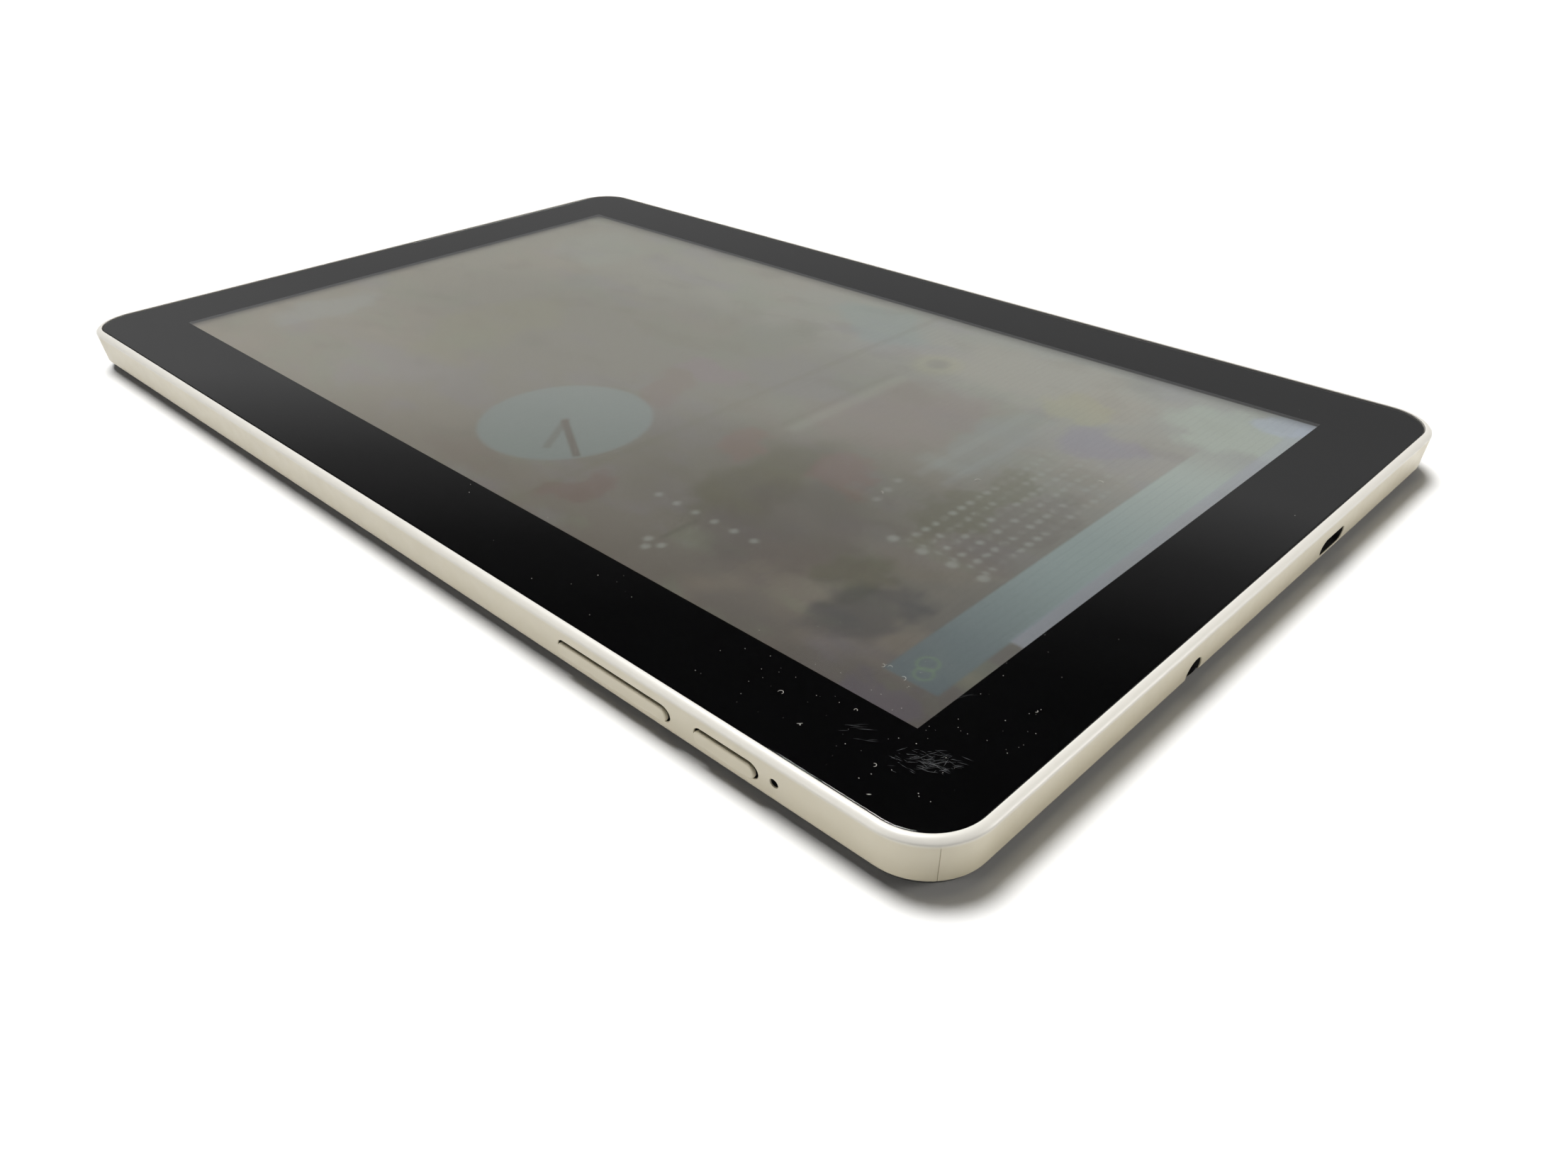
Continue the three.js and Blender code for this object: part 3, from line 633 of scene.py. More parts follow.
# Soft patches: centre, half size, turn, colour, strength.
PATCHES = (
    ((5.0, -6.0), (104.0, 42.0), 0.0, (98, 94, 80), 0.34),
    ((-57.0, -13.0), (13.0, 25.0), 8.0, (130, 128, 96), 0.3),
    ((-86.0, 42.0), (14.0, 12.0), -30.0, (150, 156, 144), 0.25),
    ((-98.0, -34.0), (9.0, 14.0), -15.0, (148, 154, 152), 0.3),
    ((-1.0, 23.0), (9.0, 14.0), 0.0, (118, 124, 106), 0.25),
    ((12.0, 50.0), (16.0, 9.0), -10.0, (126, 144, 140), 0.4),
    ((1.8, 2.0), (9.0, 5.0), -15.0, (134, 106, 124), 0.25),
    ((2.5, -9.5), (12.0, 5.5), -35.0, (116, 94, 84), 0.35),
    ((-3.0, -56.0), (12.0, 5.0), 0.0, (110, 98, 88), 0.3),
    ((48.0, 12.0), (14.0, 20.0), -14.0, (122, 106, 102), 0.35),
    ((60.0, 46.0), (30.0, 13.0), 0.0, (162, 156, 140), 0.3),
    ((47.0, -26.0), (9.0, 19.0), 10.0, (82, 80, 52), 0.5),
    ((34.2, -16.0), (4.4, 7.0), 0.0, (124, 90, 80), 0.36),
    ((56.5, -15.0), (8.0, 4.8), -30.0, (120, 82, 76), 0.36),
    ((24.4, -52.0), (4.2, 7.0), 0.0, (104, 74, 68), 0.34),
    ((69.0, 14.0), (7.0, 18.0), 0.0, (124, 130, 126), 0.4),
    ((64.0, -34.0), (15.0, 17.0), 0.0, (84, 76, 74), 0.5),
    ((74.0, 38.0), (8.0, 7.0), 20.0, (152, 150, 110), 0.36),
    ((85.5, 28.0), (8.0, 7.0), 0.0, (118, 112, 134), 0.34),
    ((101.0, 50.0), (13.0, 11.0), 0.0, (166, 178, 164), 0.5),
    ((80.5, -8.0), (5.0, 18.0), 0.0, (86, 86, 58), 0.38),
    ((92.0, -10.0), (7.0, 18.0), 0.0, (96, 88, 84), 0.34),
    ((80.5, -39.0), (5.0, 9.0), 0.0, (74, 76, 52), 0.42),
    ((52.0, -26.0), (46.0, 24.0), 0.0, (84, 79, 66), 0.2),
    ((87.6, -46.2), (9.4, 9.4), 0.0, (54, 58, 62), 0.5),
    ((104.0, -60.5), (9.0, 3.0), 0.0, (86, 80, 90), 0.5),
)

# Upright soft-edged strips: centre, half size, blur, colour, strength.
STRIPS = (
    ((19.8, 0.0), (0.7, 63.0), 1.2, (96, 94, 70), 0.25),
    ((36.4, 10.0), (1.5, 18.0), 1.4, (152, 156, 140), 0.26),
    ((33.6, 10.0), (0.8, 18.0), 1.2, (96, 96, 80), 0.22),
    ((66.5, 12.0), (1.0, 18.0), 1.2, (144, 152, 148), 0.2),
    ((72.4, 12.0), (0.8, 18.0), 1.1, (140, 146, 146), 0.2),
    ((67.5, 0.6), (5.6, 2.2), 1.6, (134, 142, 136), 0.26),
    ((49.3, -48.5), (0.5, 4.2), 0.8, (72, 74, 56), 0.36),
)

# Small pale dots: first centre, step to the next, how many, radius, strength.
DOT_ROWS = (
    ((37.4, -42.9), (4.8, 0.0), 6, 0.75, 0.4),
    ((47.8, -54.3), (3.3, 0.0), 2, 0.8, 0.42),
    ((49.4, -56.3), (0.0, 0.0), 1, 0.8, 0.42),
    ((77.8, -26.6), (6.1, 0.0), 4, 1.0, 0.4),
    ((65.3, -10.0), (0.9, -4.0), 3, 0.8, 0.28),
)


def lit_screen(name):
    """A home page with painted glare: its washed-out haze is painted into the panel's glow, with a dial,
    dots, a band, and soft patches.
    """
    picture = Picture(name)
    # The corner blend, and the streaks and patches laid over it, are partly the page and partly a painted
    # reflection of glare.
    picture.spread((136, 129, 112), (84, 79, 74), (144, 141, 126), (150, 153, 146))
    lay_clouds(picture)
    lay_dial(picture)
    lay_dots(picture)
    lay_band(picture)
    left_fade = picture.ramp(picture.exact[0], -ACTIVE_HALF_X - 1.0, -ACTIVE_HALF_X + 4.0, 0.35, 1.0)
    far_fade = picture.ramp(picture.exact[1], ACTIVE_HALF_Y + 1.0, ACTIVE_HALF_Y - 4.5, 0.5, 1.0)
    grain = picture.ramp(picture.noise(0.45, detail=2.0), 0.25, 0.75, 0.92, 1.08)
    edge = picture.bar((0.0, 0.0), (ACTIVE_HALF_X, ACTIVE_HALF_Y), 0.12)
    strength = picture.both(picture.both(grain, edge), picture.both(left_fade, far_fade))
    picture.put("Emission Color", picture.mix(strength, (0.0, 0.0, 0.0), picture.image))
    picture.put("Emission Strength", 1.0)
    return picture.material


def lay_clouds(picture):
    """Faint slanting streaks over the whole page, then the patches and strips."""
    for size, colour, turn in (
        (15.0, (126, 120, 138), 35.0),
        (18.0, (152, 138, 120), -38.0),
        (13.0, (124, 138, 112), -40.0),
        (9.0, (96, 92, 78), -36.0),
    ):
        clouds = picture.noise(size, detail=3.0, stretch=(2.0, 1.0, 1.0), turn=turn)
        picture.lay(picture.ramp(clouds, 0.52, 0.66), colour, 0.18)
    for centre, half, turn, colour, strength in PATCHES:
        picture.lay(picture.patch(centre, half, turn), colour, strength)
    for centre, half, blur, colour, strength in STRIPS:
        picture.lay(picture.bar(centre, half, blur), colour, strength)
    picture.lay(picture.disc((37.3, 38.0), 5.4, 2.2), (156, 154, 118), 0.3)
    picture.lay(picture.disc((37.2, 38.4), 2.6, 1.4), (108, 108, 104), 0.5)


def lay_dial(picture):
    """A round clock dial with two hands and a hub."""
    middle = (0.0, -35.0)
    picture.lay(picture.disc(middle, 17.5, 0.7), (120, 129, 124), 0.85)
    picture.lay(picture.bar((7.2, -39.3), (8.4, 0.75), 0.4, -29.5), (92, 80, 68), 0.75)
    picture.lay(picture.bar((3.7, -40.2), (6.2, 0.8), 0.5, -55.0), (98, 90, 80), 0.5)
    picture.lay(picture.disc(middle, 0.9, 0.4), (98, 86, 74), 0.6)


def lay_dots(picture):
    """A block of small dots, uneven and fading away from the keys, and the odd rows of dots."""
    block = picture.bar((87.5, -1.6), (9.4, 23.8), 0.5)
    uneven = picture.ramp(picture.noise(2.4, detail=0.0), 0.36, 0.56, 0.25, 1.0)
    fade = picture.ramp(picture.exact[1], 26.0, -16.0, 0.45, 1.0)
    dots = picture.dots((3.1, 2.5), 0.72, 0.6, (79.9, -23.0))
    picture.lay(picture.both(picture.both(block, dots), picture.both(uneven, fade)), (150, 156, 148), 0.5)
    for (x, y), (step_x, step_y), count, radius, strength in DOT_ROWS:
        for number in range(count):
            centre = (x + number * step_x, y + number * step_y)
            picture.lay(picture.disc(centre, radius, 0.6), (158, 164, 156), strength)


def lay_band(picture):
    """The pale band beside the ports, with a glow along its outer side and two small rings in it."""
    length = picture.exact[1]
    band = picture.both(picture.bar((104.3, -5.0), (4.85, 50.3), 0.35), picture.ramp(length, 46.0, 24.0))
    near = picture.mix(picture.ramp(length, -57.0, -9.0), linear(90, 101, 104), linear(134, 148, 146))
    colour = picture.mix(picture.ramp(length, -12.0, 44.0), near, linear(158, 169, 160))
    picture.image = picture.mix(picture.both(band, 0.85), picture.image, colour)
    picture.lay(picture.bar((110.3, 12.0), (1.4, 50.0), 0.5), (150, 156, 166), 0.5)
    picture.lay(picture.patch((110.0, 61.0), (7.0, 6.0)), (166, 178, 194), 0.5)
    for centre, radius in (((103.6, -50.3), 1.6), ((104.6, -52.6), 1.4)):
        picture.lay(picture.ring(centre, radius, 0.5, 0.35), (112, 132, 104), 0.5)


# ---------------------------------------------------------------- outer pieces

# The frame's paint. Its shade colour is used for clouding and for painted shade towards the foot. Its
# highlight colour is the painted highlight along the top edge.
WHITE_PAINT = linear(206, 198, 175)
WHITE_PAINT_SHADE = linear(196, 187, 162)
WHITE_PAINT_RIM_HIGHLIGHT = linear(217, 214, 206)


def frame_section():
    """The frame's section, as (inset, z) pairs: foot, wall, shoulder, crown, and back down the inside."""
    turn = math.degrees(RIM_TURN)
    fillet = 0.12
    wall_foot = wall_inset(FOOT_Z)
    reach = RIM_CROWN - RIM_SHOULDER
    crown_centre = (RIM_SHOULDER + reach * math.cos(RIM_TURN), THICKNESS - RIM_CROWN)
    shoulder = arc((RIM_SHOULDER, WIDEST_Z), RIM_SHOULDER, -math.degrees(WALL_LEAN), turn, 8)
    crown = arc(crown_centre, RIM_CROWN, turn, 84.0, 8)
    return [
        (wall_foot + 0.13, FOOT_Z),
        (wall_foot + 0.02, FOOT_Z + 0.03),
        (wall_inset(FOOT_Z + fillet), FOOT_Z + fillet),
        *shoulder,
        *crown[1:],
        (RIM_WIDTH - 0.05, THICKNESS - 0.03),
        (RIM_WIDTH, THICKNESS - 0.12),
        (RIM_WIDTH, LEDGE_Z),
        (LEDGE_INSET, LEDGE_Z),
        (LEDGE_INSET, LEDGE_Z - 0.4),
        (WALL_INSET, LEDGE_Z - 1.0),
        (WALL_INSET, FOOT_Z),
    ]


def side_frame(material, inside):
    """The band round the tablet, with its lip, ledge, slots and port holes, painted on the outside only. Its
    dark bare plastic inside is also painted shade in the slots and holes.
    """
    piece = lofted("side_frame_shell", [outline(inset, z) for inset, z in frame_section()], closed=True)
    combine(piece, frame_lugs(), "UNION")
    cuts = [*key_slots(), microphone_hole(), usb_hole(), jack_hole(), *lug_holes(), moulding_seam()]
    combine(piece, cuts, "DIFFERENCE")
    smooth(piece)
    set_up(piece, material, "tablet_body", "frame_paint", "side_frame")
    piece.data.materials.append(inside)
    # Faces buried deeper than PAINT_REACH take the dark inside material. This is bare plastic, and it is also
    # painted shade in the slots and holes.
    for polygon in piece.data.polygons:
        centre = polygon.center / MM
        buried = inset_of(centre) - max(0.0, wall_inset(centre.z))
        if buried > PAINT_REACH and centre.z < LEDGE_Z:
            polygon.material_index = 1


def inset_of(point):
    """How far a point is inside the tablet's outline."""
    over_x = abs(point.x) - (HALF_X - CORNER)
    over_y = abs(point.y) - (HALF_Y - CORNER)
    if over_x > 0 and over_y > 0:
        return CORNER - math.hypot(over_x, over_y)
    return CORNER - max(over_x, over_y)


def screw_places():
    """Where the middles of the six chassis screws are."""
    return [middle_mm(f"chassis_screw_{number}") for number in range(1, 7)]


def frame_lugs():
    """Blocks inside the wall that take the chassis screws."""
    half = 2.7
    low_z, high_z = 5.15, 7.2
    wall = HALF_Y - WALL_INSET + 0.4
    lugs = []
    for place in screw_places():
        side = math.copysign(1.0, place.y)
        near, far = sorted((place.y - side * half, side * wall))
        lugs.append(blocks("lug", [((place.x - half, near, low_z), (place.x + half, far, high_z))]))
    return lugs


def lug_holes():
    """The screws' clearance holes through the lugs."""
    rings = [circle(1.0, z, 24) for z in (4.0, 8.0)]
    return [lofted("hole", rings, place=Matrix.Translation((p.x, p.y, 0))) for p in screw_places()]


def flared(ring_at, place, depth, flare):
    """A cutter that opens out a little at the surface, so the edge it leaves is rounded."""
    steps = ((-0.6, 1.0), (-0.01, 1.0), (0.0, 0.82), (0.05, 0.3), (0.12, 0.06), (0.2, 0.0))
    rings = [ring_at(flare * share, d) for d, share in steps]
    rings.append(ring_at(0.0, depth))
    return lofted("hole", rings, place=place)


def round_hole(place, radius, flare, sides, depth=WALL_CUT):
    """A cutter for a round hole."""
    def ring_at(grow, at):
        return circle(radius + grow, at, sides)

    return flared(ring_at, place, depth, flare)


def long_hole(place, width, height, flare, depth=WALL_CUT, steps=12):
    """A cutter for a slot with round ends."""
    def ring_at(grow, at):
        return long_ring(width + 2 * grow, height + 2 * grow, at, steps)

    return flared(ring_at, place, depth, flare)


def moulding_seam():
    """A cutter for the hairline down the wall at the corner between the keys and the ports."""
    outward, along = headed(math.radians(-42.0))
    up = (Z_AXIS + outward * math.tan(WALL_LEAN)).normalized()
    centre = Vector((HALF_X - CORNER, -(HALF_Y - CORNER), FOOT_Z))
    origin = centre + outward * (CORNER - wall_inset(FOOT_Z))
    half = 0.05
    depth = 0.12
    height = 6.1
    ring = [(-half, -1.0), (half, -1.0), (half, height), (-half, height)]
    rings = [[Vector((x, y, z)) for x, y in ring] for z in (-1.0, depth)]
    return lofted("seam", rings, place=placed(origin, along, up))


def key_slots():
    """The slots that the keys sit in."""
    slots = []
    for low, high in ((VOLUME_LOW, VOLUME_HIGH), (POWER_LOW, POWER_HIGH)):
        place = on_long_wall((low.x + high.x) / 2 + KEY_SETTLE, KEY_SLOT_Z)
        slots.append(long_hole(place, high.x - low.x - 2 * KEY_END, KEY_SLOT_HEIGHT, 0.14))
    return slots


def microphone_hole():
    return round_hole(on_long_wall(MIC_X, MIC_Z), MIC_RADIUS, 0.1, 40)


def usb_hole():
    return long_hole(on_short_wall(USB_Y, USB_Z), USB_HOLE_WIDTH, USB_HOLE_HEIGHT, 0.16)


def jack_hole():
    return round_hole(on_short_wall(JACK_Y, JACK_Z), JACK_HOLE_RADIUS, 0.16, 64)


def rear_cover(material):
    """The shallow dish that closes the back, with its curved edge and locating lip."""
    top = FOOT_Z - 0.1
    run = 3.5
    inset = 1.15
    floor = 1.0
    steps = 14
    turns = [i / steps * math.pi / 2 for i in range(steps + 1)]
    edge = [(inset + run * (1 - math.sin(a)), top * (1 - math.cos(a))) for a in turns]
    lip_inner = LIP_OUTER + 0.85
    section = [
        *edge,
        (LIP_OUTER, top),
        (LIP_OUTER, COVER_HIGH.z - 0.1),
        (LIP_OUTER + 0.1, COVER_HIGH.z),
        (lip_inner, COVER_HIGH.z),
        (lip_inner, floor + 0.6),
        (lip_inner + 0.5, floor + 0.15),
        (lip_inner + 1.4, floor),
    ]
    piece = lofted("rear_cover_shell", [outline(i, z) for i, z in section])
    combine(piece, cover_cuts(), "DIFFERENCE")
    smooth(piece)
    set_up(piece, material, "tablet_body", "cover_paint", "rear_cover")


def speaker_places():
    """The middles of the two speakers."""
    return [middle_mm("speaker_left"), middle_mm("speaker_right")]


def cover_cuts():
    """The holes in the rear cover: camera, speaker slots, and room for the ports."""
    cuts = [jack_hole()]
    lip_x = HALF_X - LIP_OUTER
    for y, half, low_z in ((USB_Y, 5.2, USB_Z - 2.0), (JACK_Y, 3.0, 1.0)):
        cuts.append(blocks("notch", [((lip_x - 2.0, y - half, low_z), (lip_x + 0.2, y + half, 4.0))]))
    window = middle_mm("rear_camera_window")
    radius = (WINDOW_HIGH.x - WINDOW_LOW.x) / 2 + 0.3
    cuts.append(round_hole(Matrix.Translation((window.x, window.y, 0.0)), radius, 0.25, 64, COVER_CUT))
    for speaker in speaker_places():
        for number in range(-2, 3):
            place = Matrix.Translation((speaker.x + number * 3.4, speaker.y, 0.0))
            cuts.append(long_hole(place, 1.4, 8.0, 0.12, COVER_CUT, 6))
    return cuts


def glass_slab(material):
    """The cover glass, with a polished edge."""
    edge = HALF_X - GLASS_HIGH.x
    polish = arc((edge + 0.25, GLASS_HIGH.z - 0.25), 0.25, 0.0, 90.0, 6)
    rings = [outline(edge + 0.05, GLASS_LOW.z), outline(edge, GLASS_LOW.z + 0.05)]
    rings += [outline(inset, z) for inset, z in polish]
    piece = lofted("front_glass", rings)
    smooth(piece)
    set_up(piece, material, "tablet_body", "cover_glass", "cover_glass")


def border_print(material):
    """The black border, a thin layer fused into the glass's back, open over the lit panel."""
    edge = HALF_X - GLASS_HIGH.x + 0.1
    top = GLASS_LOW.z + 0.03
    bottom = GLASS_LOW.z - 0.03
    opening_x = ACTIVE_HALF_X + 0.35
    opening_y = ACTIVE_HALF_Y + 0.35

    def opening(z):
        """The opening's outline, with as many points as the tablet's: a short run of them at each corner."""
        shape = []
        for quarter, (side_x, side_y) in enumerate(QUARTERS):
            angle = (quarter + 0.5) * math.pi / 2
            for step in range(CORNER_STEPS + 1):
                spread = (step / CORNER_STEPS - 0.5) * 0.4
                x = side_x * opening_x - spread * math.sin(angle)
                y = side_y * opening_y + spread * math.cos(angle)
                shape.append(clamp_to(Vector((x, y, z)), opening_x, opening_y))
        return shape

    rings = [outline(edge, bottom), outline(edge, top), opening(top), opening(bottom)]
    piece = lofted("border_print", rings, closed=True)
    set_up(piece, material, "tablet_body", "adhesive")


def clamp_to(point, half_x, half_y):
    """The point, kept inside a rectangle."""
    return Vector((max(-half_x, min(half_x, point.x)), max(-half_y, min(half_y, point.y)), point.z))


def side_key(name, low, high, paint, dark, body):
    """A key: a painted cap with a softened edge, on a black carrier with a flange behind the wall. The black
    carrier also stands for painted shade in the gap round the cap.
    """
    length = high.x - low.x - 2 * (KEY_END + KEY_GAP)
    height = KEY_SLOT_HEIGHT - 2 * KEY_GAP
    middle = Vector(((low.x + high.x) / 2, low.y, (low.z + high.z) / 2))
    place = placed(middle, X_AXIS, Z_AXIS)
    depth = high.y - low.y

    def rings(profile):
        return [long_ring(length - 2 * inset, height - 2 * inset, at, 14) for inset, at in profile]

    cap = ((0.36, 0.0), (0.26, 0.006), (0.17, 0.03), (0.09, 0.08), (0.03, 0.16), (0.0, 0.28), (0.0, 0.55))
    piece = lofted(f"{name}_cap", rings(cap), place=place)
    smooth(piece, 40.0)
    set_up(piece, paint, body, "frame_paint", body)
    carrier = (
        (0.05, 0.5),
        (0.05, depth - 0.7),
        (-FLANGE_REACH + 0.1, depth - 0.7),
        (-FLANGE_REACH, depth - 0.6),
        (-FLANGE_REACH, depth - 0.1),
        (-FLANGE_REACH + 0.1, depth),
    )
    # The carrier is the key's black stem, and it is also painted shade in the gap round the cap.
    piece = lofted(f"{name}_carrier", rings(carrier), place=place)
    smooth(piece, 20.0)
    set_up(piece, dark, body, "black_plastic")


# ---------------------------------------------------------------- ports and small parts


def usb_socket(shell_material, tongue_material, contact_material):
    """The rolled metal shell of the charging port, and the tongue with its contacts."""
    length, width, height = USB_HIGH - USB_LOW
    sheet = 0.28

    def ring(inset, depth):
        tall = height - 2 * inset
        return rounded_ring(width / 2 - inset, tall / 2, tall / 2 - 0.01, depth, 16)

    outside = [ring(0.0, length), ring(0.0, 0.08), ring(0.06, 0.0)]
    inside = [ring(sheet - 0.06, 0.0), ring(sheet, 0.08), ring(sheet, length - 0.4)]
    place = placed(Vector((USB_HIGH.x, USB_Y, USB_Z)), Y_AXIS, Z_AXIS)
    shell = lofted("usb_shell", outside + inside, place=place)
    smooth(shell)
    set_up(shell, shell_material, "tablet_body", "pressed_steel", "usb_port_shell")

    low, high = box_mm("usb_tongue")
    half_y = (high.y - low.y) / 2
    half_z = (high.z - low.z) / 2
    tip = ((0.12, 0.0), (0.03, 0.03), (0.0, 0.14), (0.0, high.x - low.x))
    rings = [rounded_ring(half_y - i, half_z - i, 0.12, d, 4) for i, d in tip]
    place = placed(Vector((high.x, USB_Y, USB_Z)), Y_AXIS, Z_AXIS)
    piece = lofted("usb_contact_tongue", rings, place=place)
    smooth(piece)
    set_up(piece, tongue_material, "tablet_body", "black_plastic", "usb_tongue")

    strips = []
    for number in range(12):
        y = USB_Y + (number - 5.5) * 0.5
        for side in (1, -1):
            surface = USB_Z + side * half_z
            near, far = sorted((surface - side * 0.02, surface + side * 0.03))
            strips.append(((low.x + 0.8, y - 0.12, near), (high.x - 0.4, y + 0.12, far)))
    set_up(blocks("usb_contacts", strips), contact_material, "tablet_body", "pressed_steel")


def headphone_socket(material, contact_material):
    """The jack's body, with a round bore and a rolled mouth."""
    body = blocks("headphone_socket", [(JACK_LOW, JACK_HIGH)])
    bevel = body.modifiers.new("bevel", "BEVEL")
    bevel.width = 0.25 * MM
    bevel.segments = 3
    apply_modifiers(body)
    place = placed(Vector((JACK_HIGH.x, JACK_Y, JACK_Z)), Y_AXIS, Z_AXIS)
    bore = [circle(radius, depth, 64) for radius, depth in (
        (1.95, -1.0), (1.95, 0.0), (1.85, 0.12), (1.8, 0.3), (1.8, 11.2), (1.4, 11.5))]
    combine(body, [lofted("bore", bore, place=place)], "DIFFERENCE")
    smooth(body)
    set_up(body, material, "tablet_body", "black_plastic", "audio_jack")

    springs = []
    for depth, side in ((2.6, 1), (5.6, -1), (8.4, 1)):
        x = JACK_HIGH.x - depth
        near, far = sorted((JACK_Z + side * 1.45, JACK_Z + side * 1.78))
        springs.append(((x - 0.8, JACK_Y - 0.5, near), (x + 0.8, JACK_Y + 0.5, far)))
    set_up(blocks("jack_contacts", springs), contact_material, "tablet_body", "pressed_steel")


def rear_camera_glass(material, ring_material):
    """The round window over the rear camera, and the trim ring round it."""
    centre = middle_mm("rear_camera_window")
    radius = (WINDOW_HIGH.x - WINDOW_LOW.x) / 2
    place = Matrix.Translation((centre.x, centre.y, 0.0))
    low, high = WINDOW_LOW.z, WINDOW_HIGH.z
    disc = ((0.75, low), (0.65, low + 0.08), (0.65, high))
    window = lofted("rear_camera_glass", [circle(radius - inset, z, 96) for inset, z in disc], place=place)
    smooth(window)
    set_up(window, material, "tablet_body", "lens", "rear_camera_window")
    ring = (
        (0.0, high),
        (0.0, low + 0.08),
        (0.1, low - 0.02),
        (0.42, low - 0.02),
        (0.6, low + 0.14),
        (0.6, high),
    )
    rings = [circle(radius - inset, z, 96) for inset, z in ring]
    trim = lofted("rear_camera_trim", rings, closed=True, place=place)
    smooth(trim)
    set_up(trim, ring_material, "tablet_body", "pressed_steel")


def speaker_cloths(material):
    """Fine mesh behind the speaker slots: threads one way, and threads over them the other way."""
    pitch = 0.8
    thread = 0.3
    half_x = 9.2
    half_y = 4.6
    low, middle, high = 1.08, 1.16, 1.24
    for side, speaker in zip(("left", "right"), speaker_places()):
        left = speaker.x - half_x
        near = speaker.y - half_y
        threads = []
        for number in range(24):
            x = left + number * pitch
            threads.append(((x, near, low), (x + thread, speaker.y + half_y, middle)))
        for number in range(12):
            y = near + number * pitch
            threads.append(((left, y, middle), (speaker.x + half_x + thread, y + thread, high)))
        set_up(blocks(f"speaker_cloth_{side}", threads), material, "tablet_body", "black_plastic")


# ---------------------------------------------------------------- dust, fibres and scuffs


def add_speck(mesh, place, size, chance):
    """A crumb of dust: a squashed, uneven lump."""
    lump = bmesh.ops.create_icosphere(mesh, subdivisions=1, radius=size * MM)
    for vertex in lump["verts"]:
        stretch = chance.uniform(0.6, 1.2)
        vertex.co = Vector((vertex.co.x * stretch, vertex.co.y * stretch * 0.8, vertex.co.z * 0.3))
        vertex.co += place * MM


def add_fibre(mesh, start, length, curl, heading, chance):
    """A curled fibre lying on the glass."""
    steps = 16
    sides = 5
    thickness = 0.035
    turns = [2 * math.pi * i / sides for i in range(sides)]
    place = start.copy()
    rings = []
    for step in range(steps + 1):
        direction, across = headed(heading)
        taper = math.sin(math.pi * min(max(step / steps, 0.06), 0.94)) ** 0.3
        radius = thickness * taper
        ring = [across * math.cos(turn) + Z_AXIS * (math.sin(turn) + 1.0) for turn in turns]
        rings.append([place + offset * radius for offset in ring])
        place += direction * (length / steps)
        heading += curl / steps * chance.uniform(0.6, 1.4)
    add_loft(mesh, rings)


def add_scratch(mesh, start, length, heading, width):
    """A hair-thin scratch: a tapering sliver that stands a little above the glass."""
    direction, across = headed(heading)
    side = across * width
    end = start + direction * length
    middle = start + direction * (length * 0.45)
    lift = Vector((0.0, 0.0, 0.006))
    ring = [start, middle - side, end, middle + side]
    add_loft(mesh, [ring, [point + lift for point in ring]])


LITTER_Z = GLASS_HIGH.z + 0.004

# The dust's fields: how many, from and to in x, from and to in y, the biggest.
DUST = (
    (60, (10, 124), (-77, -30), 0.1),
    (70, (86, 124), (-77, -48), 0.09),
    (50, (-120, 124), (-77, 76), 0.08),
)

# The crumbs that the photo shows singly: x, y, size.
CRUMBS = (
    (100.3, -73.3, 0.15), (119.7, -73.0, 0.09), (96.7, -61.2, 0.1), (103.9, -61.1, 0.1),
    (115.4, -77.2, 0.09), (81.5, -74.6, 0.08), (119.4, -54.3, 0.09), (123.3, -59.5, 0.08),
)

# The fibres: x, y, length, curl, heading.
FIBRES = (
    (100.0, -56.3, 1.3, 4.0, 0.4), (100.6, -55.6, 1.0, -3.0, 1.9), (104.2, -56.6, 1.4, 3.4, 0.9),
    (94.0, -70.2, 1.5, 3.6, 1.2), (103.5, -66.2, 1.0, -4.2, 2.4), (112.6, -73.0, 1.1, 3.6, 0.6),
    (93.8, 12.6, 1.4, 2.0, 1.9), (76.4, -2.0, 1.4, -2.5, 2.0), (67.4, -17.0, 1.1, 2.5, 1.4),
    (99.8, -73.4, 0.8, 0.6, 0.5), (121.3, -50.2, 0.7, 2.6, 0.4), (115.2, -77.4, 0.6, 1.2, 0.2),
)


def glass_dust(material, chance):
    """Crumbs of dust, thickest by the corner between the keys and the ports."""
    mesh = bmesh.new()
    for count, spread_x, spread_y, biggest in DUST:
        for _ in range(count):
            place = Vector((chance.uniform(*spread_x), chance.uniform(*spread_y), LITTER_Z))
            add_speck(mesh, place, chance.uniform(0.025, biggest), chance)
    for x, y, size in CRUMBS:
        add_speck(mesh, Vector((x, y, LITTER_Z)), size, chance)
    set_up(finish_mesh(mesh, "dust"), material, "tablet_body", "adhesive")


def glass_fibres(material, chance):
    """The curled fibres."""
    mesh = bmesh.new()
    for x, y, length, curl, heading in FIBRES:
        add_fibre(mesh, Vector((x, y, LITTER_Z)), length, curl, heading, chance)
    set_up(finish_mesh(mesh, "fibres"), material, "tablet_body", "adhesive")


